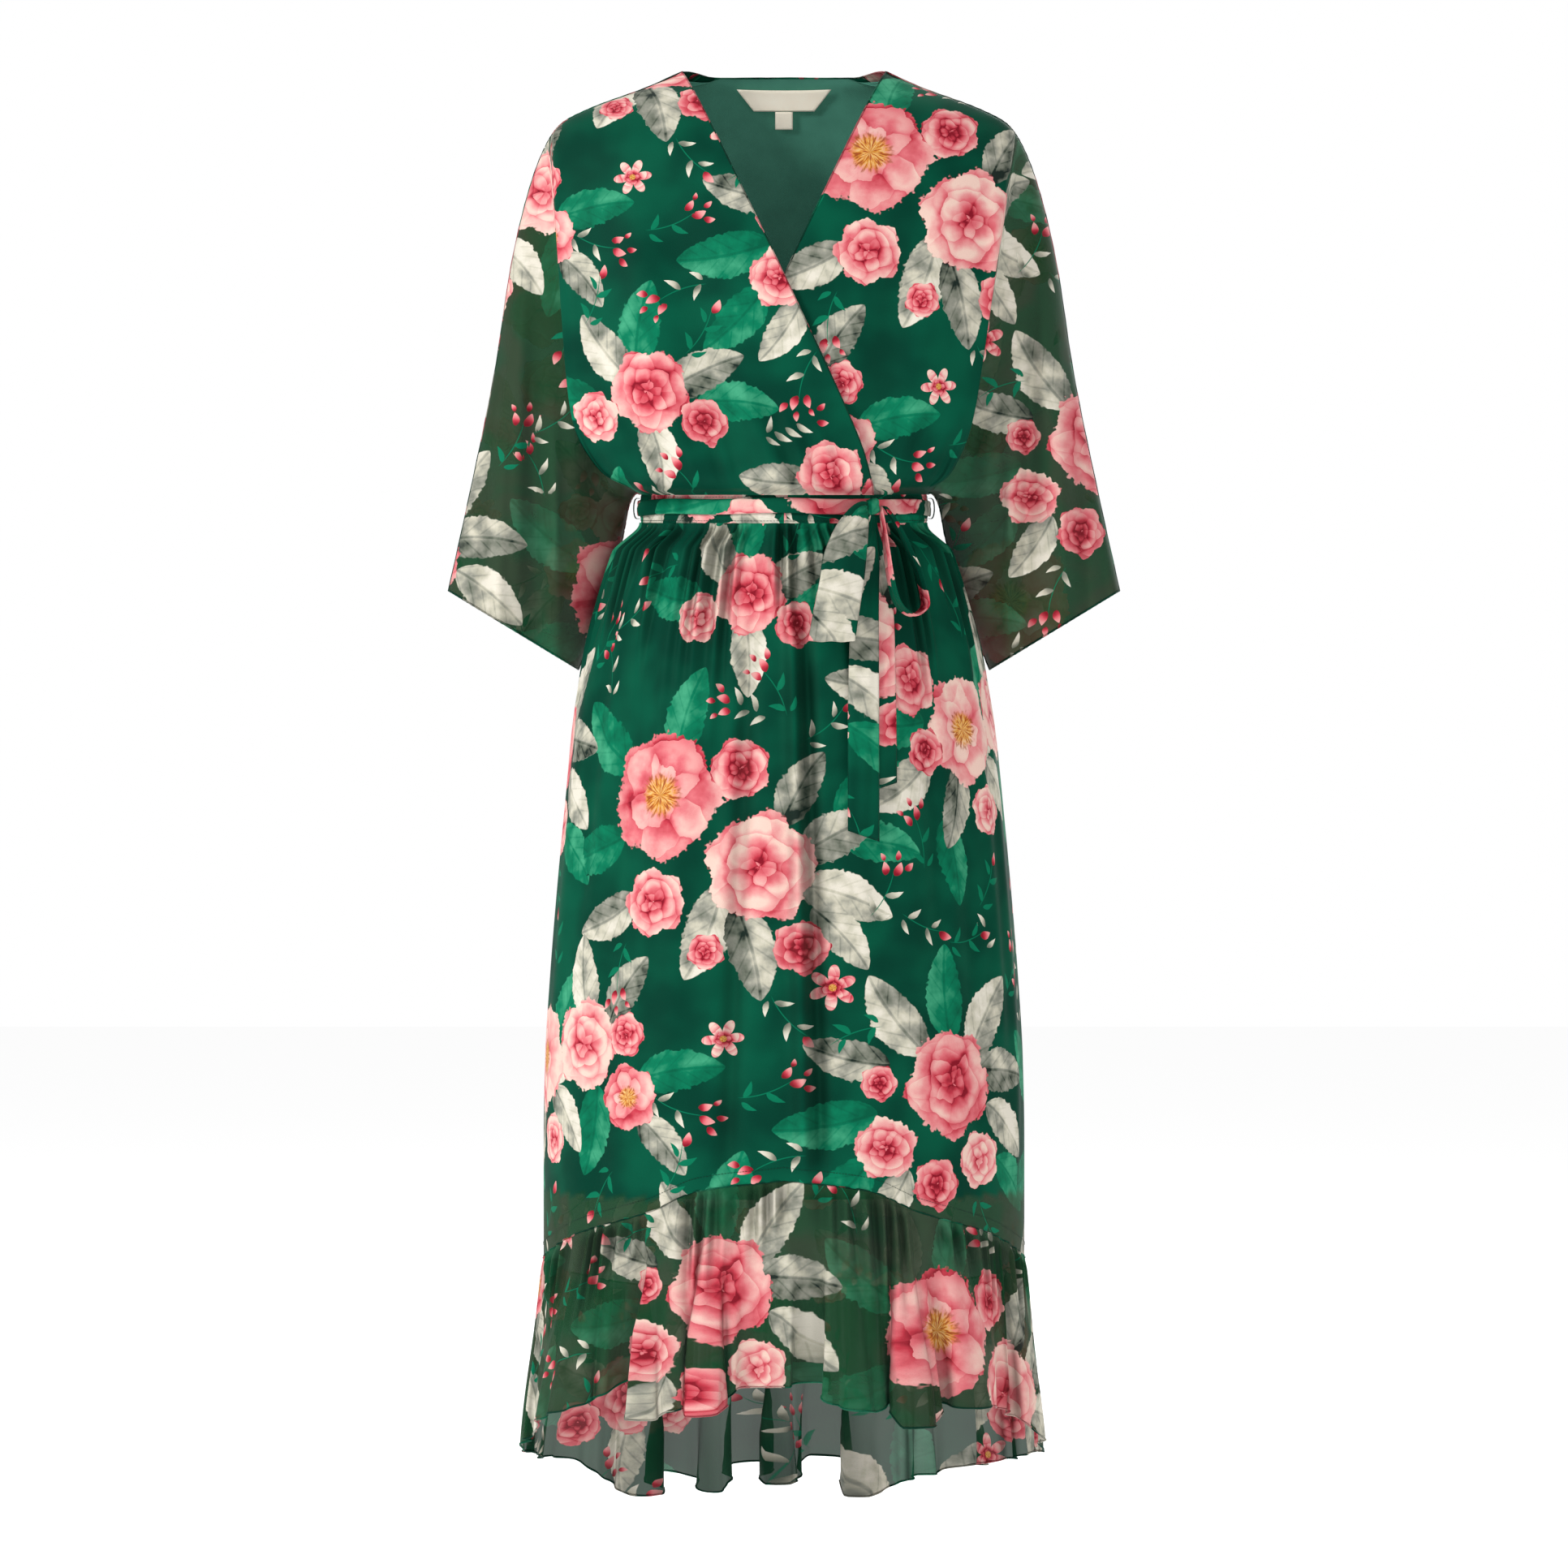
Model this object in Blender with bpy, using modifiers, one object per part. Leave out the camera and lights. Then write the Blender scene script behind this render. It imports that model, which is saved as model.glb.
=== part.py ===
"""Kimono-sleeved wrap dress with a gathered skirt, a dipped ruffle hem and a tie belt.

Metres, +Z up. The front faces -Y and the wearer's left is +X. The origin lies midway between
the two points where the neckline meets the shoulders. Each panel is a wall of cloth: a grid
laid over its inner face and thickened outwards.
"""

import math

import bmesh
import bpy
import numpy as np

# Cloth
WALL = 0.0012
LINING_WALL = 0.0010
SEAM_GAP = 0.0003
LINING_SET_IN = 0.0028
LINING_NECK_STEP = 0.0032

# How far the back neck's middle lies above the points where the neckline meets the shoulders
BACK_NECK_RISE = 0.0056

# Waist: half width, depth to the front and back, height of the casing's top at the sides, and the
# slope that makes the front lower than the back
WAIST_HALF = 0.130
WAIST_FRONT = 0.105
WAIST_BACK = 0.095
WAIST_Z = -0.3902
WAIST_TILT = 0.060
CASING_HEIGHT = 0.026
CASING_WALL = 0.0032
SKIRT_TOP_OUT = 0.0017

# The wrap: where the front edge reaches the waist past the centre, and how far the upper front
# stands off the lower one, with what the waist adds to that
WRAP_END = 0.081
WRAP_LIFT = 0.0062
WRAP_LIFT_WAIST = 0.0016

# Gathers and their wave counts on each half of the dress
WAIST_GATHERS = 28
WAIST_GATHER_DEPTH = 0.0032
RUFFLE_GATHERS = 28
RUFFLE_GATHER_DEPTH = 0.0026

# The skirt lining's hem, and its clearance inside the skirt
LINING_HEM_Z = -1.030
LINING_EASE = 0.009

# Belt: a folded sash
BELT_HEIGHT = 0.014
BELT_WALL = 0.0024
BELT_BELOW_CASING_TOP = 0.0060
BELT_RISE_IN_FRONT = 0.0025
SASH_WALL = 0.0018
SASH_TOP_Z = -0.425
CARRIER_RADIUS = 0.0006
CARRIER_SLACK = 0.0024
KNOT_X = 0.080
KNOT_SIZE = (0.0125, 0.0105, 0.0155)
KNOT_ROUNDING = 0.0034

# Overarm seam from the neckline to the outer corner of the cuff
OVERARM = {
    "x": (0.0945, 0.1245, 0.1845, 0.2070, 0.2220, 0.2370, 0.2520, 0.2670, 0.2925, 0.3105),
    "z": (0.0000, -0.0135, -0.0360, -0.0488, -0.0720, -0.1140, -0.1785, -0.2745, -0.3980, -0.4785),
}

# How far the overarm seam sweeps back from the neckline to the cuff
OVERARM_SWEEP = 0.012

# Underarm seam from the side of the waist to the inner corner of the cuff
UNDERARM = {
    "x": (0.1300, 0.1355, 0.1430, 0.1505, 0.1730, 0.1920),
    "y": (0.0000, 0.0030, 0.0120, 0.0300, 0.0420, 0.0450),
    "z": (-0.3878, -0.3880, -0.3970, -0.4290, -0.5030, -0.5505),
}

# Torso sections from the neck to the waist: outer half width, front depth and back depth
TORSO = {
    "z": (-0.396, -0.390, -0.376, -0.350, -0.300, -0.250, -0.150, -0.100, -0.072, -0.049, -0.036,
          -0.0135, 0.000, 0.006),
    "half": (0.131, 0.160, 0.205, 0.232, 0.240, 0.242, 0.242, 0.234, 0.224, 0.207, 0.1845, 0.1245,
             0.0950, 0.0950),
    "front": (0.106, 0.114, 0.119, 0.121, 0.122, 0.121, 0.112, 0.098, 0.088, 0.075, 0.066, 0.046,
              0.034, 0.030),
    "back": (0.097, 0.101, 0.104, 0.106, 0.109, 0.113, 0.113, 0.106, 0.101, 0.097, 0.093, 0.084,
             0.077, 0.075),
}

# Guide lines that fan out from the overarm seam (top, 0 at the neck to 1 at the cuff) to the waist
# and underarm (end, 0 at the wrap's edge or the centre back, 1 at the side, 2 at the cuff). bow
# pushes a guide outwards, sleeve is 1 where the section is the sleeve's own, deep is its depth.
FRONT_GUIDES = {
    "top": (0.000, 0.070, 0.150, 0.215, 0.250, 0.360, 0.660, 1.000),
    "end": (0.000, 0.330, 0.680, 0.970, 1.060, 1.250, 1.620, 2.000),
    "bow": (-0.010, 0.000, 0.022, 0.000, 0.000, 0.008, 0.004, 0.000),
    "sleeve": (0.000, 0.000, 0.000, 0.000, 0.700, 1.000, 1.000, 1.000),
    "deep": (0.050, 0.050, 0.050, 0.050, 0.052, 0.058, 0.060, 0.058),
}
BACK_GUIDES = {
    "top": (-1.000, 0.000, 0.150, 0.215, 0.250, 0.360, 0.660, 1.000),
    "end": (0.000, 0.360, 0.680, 0.970, 1.060, 1.250, 1.620, 2.000),
    "bow": (0.000, 0.000, 0.018, 0.000, 0.000, 0.018, 0.006, 0.000),
    "sleeve": (0.000, 0.000, 0.000, 0.050, 0.450, 1.000, 1.000, 1.000),
    "deep": (0.050, 0.050, 0.050, 0.050, 0.036, 0.026, 0.044, 0.052),
}
CREST, ROOT = 3, 4
HALF_COLUMNS = 24
BODICE_ROWS = 13
LINING_COLUMNS = 16
# How far the body's side fold and its root bow out over the sleeve: wearer's right, wearer's left
FOLD_CREST_BOW = {"front": {-1: 0.060, 1: 0.034}, "back": {-1: 0.024, 1: 0.022}}
FOLD_ROOT_BOW = {"front": {-1: 0.036, 1: 0.018}, "back": {-1: 0.028, 1: 0.024}}

# Soft pleats that rise from the waist on the upper front: start, end, width and height
PLEATS = {
    "x0": (-0.048, -0.007, 0.030),
    "z0": (-0.308, -0.329, -0.345),
    "x1": (0.006, 0.029, 0.052),
    "z1": (-0.390, -0.394, -0.392),
    "width": (0.011, 0.009, 0.007),
    "height": (0.0040, 0.0035, 0.0025),
}

# Skirt sections: outer half width, front depth and back depth
SKIRT = {
    "z": (-1.150, -1.060, -0.983, -0.908, -0.833, -0.758, -0.683, -0.608, -0.571, -0.533, -0.496,
          -0.458, -0.430, -0.419, -0.405),
    "half": (0.2220, 0.2220, 0.2220, 0.2205, 0.2160, 0.2100, 0.2030, 0.1950, 0.1890, 0.1820, 0.1720,
             0.1600, 0.1490, 0.1420, 0.1330),
    "front": (0.1530, 0.1520, 0.1500, 0.1485, 0.1460, 0.1430, 0.1400, 0.1360, 0.1330, 0.1290, 0.1240,
              0.1180, 0.1130, 0.1100, 0.1080),
    "back": (0.1550, 0.1530, 0.1500, 0.1485, 0.1460, 0.1440, 0.1420, 0.1400, 0.1370, 0.1320, 0.1250,
             0.1160, 0.1090, 0.1040, 0.0990),
}

# The ruffle's seam and hem by angle from the centre front or the centre back
FRONT_HEM = {
    "angle": (0.0, 20.0, 33.0, 58.0, 75.0, 90.0),
    "seam": (-1.012, -1.022, -1.042, -1.066, -1.085, -1.0965),
    "hem": (-1.204, -1.206, -1.208, -1.224, -1.254, -1.2745),
}
BACK_HEM = {
    "angle": (0.0, 20.0, 37.0, 58.0, 75.0, 90.0),
    "seam": (-1.139, -1.137, -1.133, -1.120, -1.107, -1.0965),
    "hem": (-1.320, -1.322, -1.316, -1.296, -1.280, -1.2745),
}
RUFFLE_HALF = 0.2400
RUFFLE_DEPTH = 0.1720

# Long folds of the skirt by angle, -1 to 1 from side to side: place at the waist and at the hem,
# height (a trough is negative), width, and the stretch of the skirt's length that each one takes
FRONT_FOLDS = {
    "top": (-0.78, -0.50, -0.30, -0.09, 0.02, 0.10, 0.36, 0.60, 0.84),
    "hem": (-0.82, -0.56, -0.32, -0.13, 0.05, 0.13, 0.34, 0.58, 0.80),
    "height": (0.0030, -0.0030, 0.0030, -0.0050, 0.0050, -0.0040, 0.0030, -0.0030, 0.0030),
    "width": (0.07, 0.06, 0.06, 0.045, 0.040, 0.045, 0.07, 0.06, 0.05),
    "start": (0.10, 0.05, 0.15, 0.05, 0.05, 0.05, 0.20, 0.10, 0.15),
    "stop": (0.90, 1.05, 0.95, 1.05, 1.00, 1.05, 0.90, 1.05, 0.95),
}
BACK_FOLDS = {
    "top": (-0.80, -0.55, -0.28, 0.00, 0.24, 0.50, 0.78),
    "hem": (-0.84, -0.58, -0.31, 0.02, 0.27, 0.55, 0.82),
    "height": (0.0030, -0.0035, 0.0040, -0.0040, 0.0035, -0.0040, 0.0030),
    "width": (0.06, 0.06, 0.07, 0.06, 0.06, 0.07, 0.06),
    "start": (0.10, 0.05, 0.10, 0.05, 0.15, 0.05, 0.10),
    "stop": (0.95, 1.05, 1.00, 1.05, 0.95, 1.05, 0.95),
}

# Flutes of the ruffle along its hem, at -1 to 1 of its half width: how far out and how far down
FRONT_FLUTES = {
    "at": (-1.0, -0.90, -0.80, -0.67, -0.57, -0.51, -0.42, -0.345, -0.30, -0.22, -0.14, 0.00,
           0.11, 0.20, 0.31, 0.40, 0.45, 0.51, 0.57, 0.67, 0.80, 0.87, 0.94, 1.0),
    "out": (0.000, 0.005, 0.009, 0.000, -0.010, 0.012, 0.010, -0.002, 0.011, 0.004, -0.009, -0.002,
            -0.010, 0.006, 0.010, 0.000, 0.013, 0.012, -0.004, 0.008, 0.003, -0.006, 0.003, 0.000),
    "down": (0.000, 0.004, 0.002, -0.004, -0.010, 0.010, 0.006, 0.000, 0.008, 0.000, -0.006, -0.006,
             -0.008, 0.002, 0.006, 0.002, 0.014, 0.014, 0.002, 0.003, 0.000, 0.000, 0.003, 0.000),
}
BACK_FLUTES = {
    "at": (-1.0, -0.92, -0.82, -0.72, -0.61, -0.55, -0.46, -0.37, -0.29, -0.22, -0.12, -0.03, 0.05,
           0.14, 0.23, 0.31, 0.42, 0.56, 0.70, 0.80, 0.90, 1.0),
    "out": (0.000, 0.006, 0.012, 0.000, -0.013, -0.010, 0.012, 0.004, -0.012, 0.002, 0.014, -0.012,
            -0.004, 0.015, 0.004, -0.015, -0.006, 0.006, 0.014, -0.002, 0.004, 0.000),
    "down": (0.000, 0.002, -0.004, 0.006, 0.016, 0.014, -0.004, 0.000, 0.012, 0.000, -0.010, 0.006,
             0.002, -0.016, -0.008, 0.014, 0.006, 0.000, -0.004, -0.002, 0.000, 0.000),
}

# Sash pieces that hang from the knot, by drop below it: centre, half width
WIDE_LOOP = {
    "drop": (0.000, 0.012, 0.035, 0.075, 0.122),
    "x": (0.0745, 0.0640, 0.0585, 0.0505, 0.0425),
    "half": (0.0060, 0.0130, 0.0190, 0.0200, 0.0210),
}
LONG_TAIL = {
    "drop": (0.001, 0.030, 0.100, 0.200, 0.290),
    "x": (0.0790, 0.0760, 0.0720, 0.0710, 0.0710),
    "half": (0.0060, 0.0100, 0.0130, 0.0140, 0.0142),
}
SHORT_TAIL = {
    "drop": (0.001, 0.030, 0.100, 0.180, 0.246),
    "x": (0.0830, 0.0860, 0.0880, 0.0885, 0.0890),
    "half": (0.0050, 0.0080, 0.0110, 0.0120, 0.0122),
}
LONG_TAIL_SLANT = 0.005
SHORT_TAIL_SLANT = -0.004
# The narrow loop's centre line, beside and below the knot
NARROW_LOOP = {
    "x": (0.0895, 0.0930, 0.0965, 0.1030, 0.1160, 0.1270, 0.1215, 0.1120, 0.1040, 0.0915),
    "drop": (0.004, 0.034, 0.064, 0.088, 0.098, 0.088, 0.062, 0.040, 0.020, 0.002),
}
NARROW_LOOP_HALF = 0.0130
# Where the sash pieces leave the knot, from its middle, and half of their width there, each as
# sideways, outwards and up
ROOTS = {
    "short tail": {"at": (0.0018, -0.0026, -0.0088), "half": (0.0036, 0.0, 0.0)},
    "long tail": {"at": (-0.0018, 0.0006, -0.0088), "half": (0.0036, 0.0, 0.0)},
    "wide loop's front": {"at": (-0.0078, 0.0012, 0.0), "half": (0.0, 0.0, -0.0045)},
    "wide loop's back": {"at": (-0.0078, -0.0004, 0.0), "half": (0.0, 0.0, -0.0045)},
    "narrow loop's start": {"at": (0.0096, 0.0, 0.0), "half": (0.0, -0.0030, 0.0)},
    "narrow loop's end": {"at": (0.0110, 0.0, 0.0010), "half": (0.0, -0.0030, 0.0)},
}

# Neck label and size tab: half width at the top and bottom, height, distance under the neck edge
LABEL = {"top_half": 0.0445, "bottom_half": 0.0285, "height": 0.0186, "below": 0.0120}
TAB = {"top_half": 0.0083, "bottom_half": 0.0083, "height": 0.0160, "below": 0.0309}
LABEL_WALL = 0.0008
LABEL_SET_IN = 0.0028

COLOURS = {
    "print": (0.012, 0.105, 0.060),
    "lining": (0.034, 0.098, 0.067),
    "label": (0.70, 0.66, 0.56),
    "thread": (0.010, 0.070, 0.045),
}


def smooth(keys, values, at):
    """A smooth curve through (keys, values) that doesn't overshoot, read at `at`."""
    keys, values, at = (np.asarray(a, float) for a in (keys, values, at))
    step = np.diff(keys)
    slope = np.diff(values) / step
    tangent = np.zeros_like(values)
    same_way = slope[:-1] * slope[1:] > 0
    mean = 2 * slope[:-1] * slope[1:] / np.where(same_way, slope[:-1] + slope[1:], 1)
    tangent[1:-1] = np.where(same_way, mean, 0)
    tangent[0], tangent[-1] = slope[0], slope[-1]
    at = np.clip(at, keys[0], keys[-1])
    i = np.clip(np.searchsorted(keys, at) - 1, 0, len(keys) - 2)
    t = (at - keys[i]) / step[i]
    rise = tangent[i] * step[i] * (t**3 - 2 * t**2 + t) + tangent[i + 1] * step[i] * (t**3 - t**2)
    return values[i] * (2 * t**3 - 3 * t**2 + 1) + values[i + 1] * (3 * t**2 - 2 * t**3) + rise


def ease(low, high, at):
    """0 below low and 1 above high, with a soft change between them."""
    t = np.clip((at - low) / (high - low), 0, 1)
    return t * t * (3 - 2 * t)


def along(table, fraction):
    """The points of a table's line, spaced by its length, as one array for each column."""
    points = np.column_stack(list(table.values()))
    length = np.concatenate([[0], np.cumsum(np.linalg.norm(np.diff(points, axis=0), axis=1))])
    return [smooth(length / length[-1], table[name], fraction) for name in table]


def material(name, colour, roughness):
    surface = bpy.data.materials.new(name)
    surface.use_nodes = True
    shader = surface.node_tree.nodes["Principled BSDF"]
    shader.inputs["Base Color"].default_value = (*colour, 1.0)
    shader.inputs["Roughness"].default_value = roughness
    shader.inputs["Metallic"].default_value = 0.0
    surface.diffuse_color = (*colour, 1.0)
    return surface


def add_object(name, mesh, colour):
    piece = bpy.data.objects.new(name, mesh)
    piece.data.materials.append(material(name, COLOURS[colour], 0.75))
    bpy.data.collections["wrap_dress"].objects.link(piece)
    return piece


def cloth(name, colour, columns, rows, surface, wall=WALL, inside_out=False, ring=False):
    """A wall of cloth: a grid laid over surface(across, down) and thickened outwards from it."""
    bm = bmesh.new()
    bmesh.ops.create_grid(bm, x_segments=columns, y_segments=rows, size=0.5)
    place = np.array([vert.co for vert in bm.verts]) + 0.5
    for vert, point in zip(bm.verts, surface(place[:, 0], place[:, 1])):
        vert.co = point
    if ring:
        bmesh.ops.remove_doubles(bm, verts=bm.verts, dist=1e-5)
    if inside_out:
        bmesh.ops.reverse_faces(bm, faces=bm.faces)
    mesh = bpy.data.meshes.new(name)
    bm.to_mesh(mesh)
    bm.free()
    mesh.shade_smooth()
    piece = add_object(name, mesh, colour)
    thicken = piece.modifiers.new("wall", "SOLIDIFY")
    thicken.thickness = wall
    thicken.offset = 1.0
    thicken.use_even_offset = False
    return piece


def pleat_height(x, z):
    """How far the waist pleats raise the upper front at (x, z)."""
    height = np.zeros_like(x)
    for x0, z0, x1, z1, width, rise in zip(*PLEATS.values()):
        reach = np.hypot(x1 - x0, z1 - z0)
        way = np.array([x1 - x0, z1 - z0]) / reach
        run = (x - x0) * way[0] + (z - z0) * way[1]
        off = (x - x0) * way[1] - (z - z0) * way[0]
        height += rise * np.exp(-((off / width) ** 2)) * ease(-0.2 * reach, 0.9 * reach, run)
    return height


def torso_depth(x, z, face):
    """How far the torso's outer face stands forward (or back) of the side seams at (x, z)."""
    half = smooth(TORSO["z"], TORSO["half"], z)
    deep = smooth(TORSO["z"], TORSO[face], z)
    ratio = np.clip(np.abs(x) / half, 0, 1)
    return deep * np.sqrt(1 - ratio**2.3)


def moved(surface, distance):
    """A surface moved along its own normals, which point away from the hollow."""

    def shifted(across, down):
        step = 1e-3
        left, right = np.maximum(across - step, 0), np.minimum(across + step, 1)
        upper, lower = np.maximum(down - step, 0), np.minimum(down + step, 1)
        run = surface(right, down) - surface(left, down)
        drop = surface(across, lower) - surface(across, upper)
        normal = np.cross(run, drop)
        normal /= np.linalg.norm(normal, axis=1)[:, None]
        return surface(across, down) + distance * normal

    return shifted


def overarm(top):
    """A point of the overarm seam, or of the back neck where top is negative."""
    x, z = along(OVERARM, np.clip(top, 0, 1))
    inward = np.clip(-top, 0, 1)
    x = x * (1 - inward)
    z = z + BACK_NECK_RISE * (1 - (1 - inward) ** 2)
    return x, z


def lower_edge(end, start_angle, face):
    """x, z, the seam's y and the waist's depth along the waist (end 0 to 1) and the underarm (1 to 2)."""
    angle = np.radians(start_angle + (90 - start_angle) * np.clip(end, 0, 1))
    facing = {"front": -1, "back": 1}[face]
    depth = {"front": WAIST_FRONT, "back": WAIST_BACK}[face] * np.cos(angle)
    waist_z = WAIST_Z + WAIST_TILT * facing * depth + 3 * SEAM_GAP + WALL
    x, y, z = along(UNDERARM, np.clip(end - 1, 0, 1))
    under = end > 1
    return np.where(under, x, WAIST_HALF * np.sin(angle)), np.where(under, z, waist_z), y, depth


def bodice_half(across, down, side, face, upper=False):
    """The inner face of half a bodice with its kimono sleeve.

    across runs from the wrap's edge or the centre back to the cuff, down from the overarm seam to
    the waist and the underarm seam. side is -1 for the wearer's right and 1 for their left.
    """
    table = {"front": FRONT_GUIDES, "back": BACK_GUIDES}[face]
    guides = {name: list(row) for name, row in table.items()}
    guides["bow"][CREST], guides["bow"][ROOT] = FOLD_CREST_BOW[face][side], FOLD_ROOT_BOW[face][side]
    marks = np.linspace(0, 1, len(guides["top"]))
    top, end, bow, sleeve, deep = (smooth(marks, row, across) for row in guides.values())
    start_angle = {"front": -math.degrees(math.asin(WRAP_END / WAIST_HALF)), "back": 0.0}[face]
    facing = {"front": -1, "back": 1}[face]
    top_x, top_z = overarm(top)
    end_x, end_z, under_y, waist_depth = lower_edge(end, start_angle, face)

    fall = (1 - np.cos(np.pi * down)) / 2
    x = top_x + (end_x - top_x) * fall + bow * fall**0.8 * (1 - fall**14)
    z = top_z + (end_z - top_z) * fall
    body = 1 - sleeve
    settle = ease(0.986, 1.0, fall)
    depth = (torso_depth(x, z, face) - WALL) * (1 - settle) + waist_depth * settle
    if upper:
        ratio = np.clip(np.abs(x) / smooth(TORSO["z"], TORSO["half"], z), 0, 1)
        lift = WRAP_LIFT * ease(0.25, 0.5, fall) + WRAP_LIFT_WAIST * settle
        depth = depth + lift * (1 - ratio**4)
        depth = depth + pleat_height(side * x, z) * (1 - ease(0.93, 1.0, fall))
    shoulder = ease(-0.3, 0.0, top) * (1 - np.sqrt(np.clip(fall / 0.012, 0, 1)))
    depth = np.maximum(depth, 0) * (1 - shoulder)
    seam_y = OVERARM_SWEEP * np.clip(top, 0, 1)
    seam_y = seam_y + (under_y - seam_y) * fall
    y = seam_y + facing * (body * depth + sleeve * deep * np.sin(np.pi * down) + SEAM_GAP / 2)
    return np.column_stack([side * x, y, z])


def bodice_front(name, side, upper):
    return cloth(
        name,
        "print",
        HALF_COLUMNS,
        BODICE_ROWS,
        lambda across, down: bodice_half(across, down, side, "front", upper),
        inside_out=side > 0,
    )


def back_surface(across, down):
    """The whole back from the wearer's right cuff to their left one."""
    place = 2 * across - 1
    right = bodice_half(np.abs(place), down, -1, "back")
    left = bodice_half(np.abs(place), down, 1, "back")
    return np.where((place < 0)[:, None], right, left)


def back_lining_surface(across, down):
    """The lining of the back, from side to side of the torso and from the neck to the waist."""
    reach = LINING_COLUMNS / (2 * HALF_COLUMNS)
    place = (1 - reach) / 2 + reach * across
    off_shoulder = ease(0.07, 0.12, np.abs(2 * place - 1))
    start = (0.030 + 0.044 * off_shoulder) * (1 - ease(0.0, 0.5 / BODICE_ROWS, down))
    stop = 0.004 * ease(1 - 0.5 / BODICE_ROWS, 1, down)
    inward = LINING_SET_IN + LINING_NECK_STEP * (1 - ease(0.0, 1.5 / BODICE_ROWS, down))
    return moved(back_surface, -inward[:, None])(place, down + start - stop)


def waist_point(angle, outset, below):
    """A point of the waist at an angle from the centre front, set out from the body's line."""
    turn = np.radians(angle)
    deep = np.where(np.cos(turn) > 0, WAIST_FRONT, WAIST_BACK)
    x = (WAIST_HALF + outset) * np.sin(turn)
    y = -(deep + outset) * np.cos(turn)
    return np.column_stack([x, y, WAIST_Z + WAIST_TILT * y - below])


def belt_point(angle, outset, below):
    """A point of the belt, which rides a little higher than the waist line at its front and back."""
    point = waist_point(angle, outset, BELT_BELOW_CASING_TOP + below)
    point[:, 2] += BELT_RISE_IN_FRONT * np.abs(np.cos(np.radians(angle)))
    return point


def waist_ring(name, point, outset, height, wall, segments=48):
    """A band round the waist."""
    return cloth(
        name,
        "print",
        segments,
        1,
        lambda across, down: point(360 * across, outset, height * down),
        wall=wall,
        inside_out=True,
        ring=True,
    )


def zigzag(place, count):
    """1 and -1 in turn at the ridges and valleys of `count` gathers across a half."""
    return np.cos(2 * np.pi * count * place)


def long_folds(folds, place, down):
    """How far the long folds stand out at a place across the skirt, down is 0 to 1."""
    height = np.zeros_like(place)
    for top, hem, rise, width, start, stop in zip(*folds.values()):
        centre = top + (hem - top) * down
        fade = ease(start, start + 0.25, down) * (1 - ease(stop - 0.15, stop, down))
        height += rise * fade * np.exp(-(((place - centre) / width) ** 2))
    return height


def skirt_half(across, down, face):
    """The inner face of the front or back skirt, from the waist casing to the ruffle's seam."""
    folds = {"front": FRONT_FOLDS, "back": BACK_FOLDS}[face]
    hem = {"front": FRONT_HEM, "back": BACK_HEM}[face]
    facing = {"front": -1, "back": 1}[face]
    place = 2 * across - 1
    turn = np.radians(90 * place)
    deep = {"front": WAIST_FRONT, "back": WAIST_BACK}[face]
    top_z = WAIST_Z + WAIST_TILT * facing * deep * np.cos(turn) - CASING_HEIGHT - 3 * SEAM_GAP
    seam_z = smooth(hem["angle"], hem["seam"], np.abs(90 * place))
    fall = down**1.5
    z = top_z + (seam_z - top_z) * fall
    gather = zigzag(across, WAIST_GATHERS) * WAIST_GATHER_DEPTH
    gather *= (0.15 + 0.85 * ease(0.0, 0.03, fall)) * (1 - ease(0.05, 0.35, fall))
    gather *= 1 - ease(0.94, 1.0, np.abs(place))
    bulge = gather + long_folds(folds, place, fall) * (1 - np.abs(place) ** 8)
    join = 1 - ease(0.0, 0.04, fall)
    half = smooth(SKIRT["z"], SKIRT["half"], z) - WALL
    depth = smooth(SKIRT["z"], SKIRT[face], z) - WALL
    half = half + (WAIST_HALF + SKIRT_TOP_OUT - half) * join
    depth = depth + (deep + SKIRT_TOP_OUT - depth) * join
    x, y = oval(turn, half, depth, bulge)
    return np.column_stack([x, facing * (y + SEAM_GAP / 2), z])


def oval(turn, half, depth, bulge):
    """A point of an oval section, moved out along its normal."""
    normal = np.hypot(depth * np.sin(turn), half * np.cos(turn))
    x = half * np.sin(turn) + bulge * depth * np.sin(turn) / normal
    y = depth * np.cos(turn) + bulge * half * np.cos(turn) / normal
    return x, y


def ruffle_half(across, down, face):
    """The inner face of the front or back ruffle, gathered at its seam and fluted at its hem."""
    hem = {"front": FRONT_HEM, "back": BACK_HEM}[face]
    flutes = {"front": FRONT_FLUTES, "back": BACK_FLUTES}[face]
    facing = {"front": -1, "back": 1}[face]
    place = 2 * across - 1
    turn = np.radians(90 * place)
    angle = np.abs(90 * place)
    top_z = smooth(hem["angle"], hem["seam"], angle) - 2 * SEAM_GAP
    spot = np.sin(turn)
    hem_z = smooth(hem["angle"], hem["hem"], angle) - smooth(flutes["at"], flutes["down"], spot)
    z = top_z + (hem_z - top_z) * down
    ends = 1 - np.abs(place) ** 12
    gather = zigzag(across, RUFFLE_GATHERS) * RUFFLE_GATHER_DEPTH * ends
    gather *= (0.1 + 0.9 * ease(0.0, 0.12, down)) * (1 - ease(0.2, 0.8, down))
    bulge = gather + smooth(flutes["at"], flutes["out"], spot) * down**1.1
    top_half = smooth(SKIRT["z"], SKIRT["half"], top_z)
    top_depth = smooth(SKIRT["z"], SKIRT[face], top_z)
    spread = ease(-0.4, 1.1, down)
    spread = (spread - ease(-0.4, 1.1, 0.0)) / (ease(-0.4, 1.1, 1.0) - ease(-0.4, 1.1, 0.0))
    half = top_half + (RUFFLE_HALF - top_half) * spread - WALL
    depth = top_depth + (RUFFLE_DEPTH - top_depth) * spread - WALL
    x, y = oval(turn, half, depth, bulge)
    return np.column_stack([x, facing * (y + SEAM_GAP / 2), z])


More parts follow.
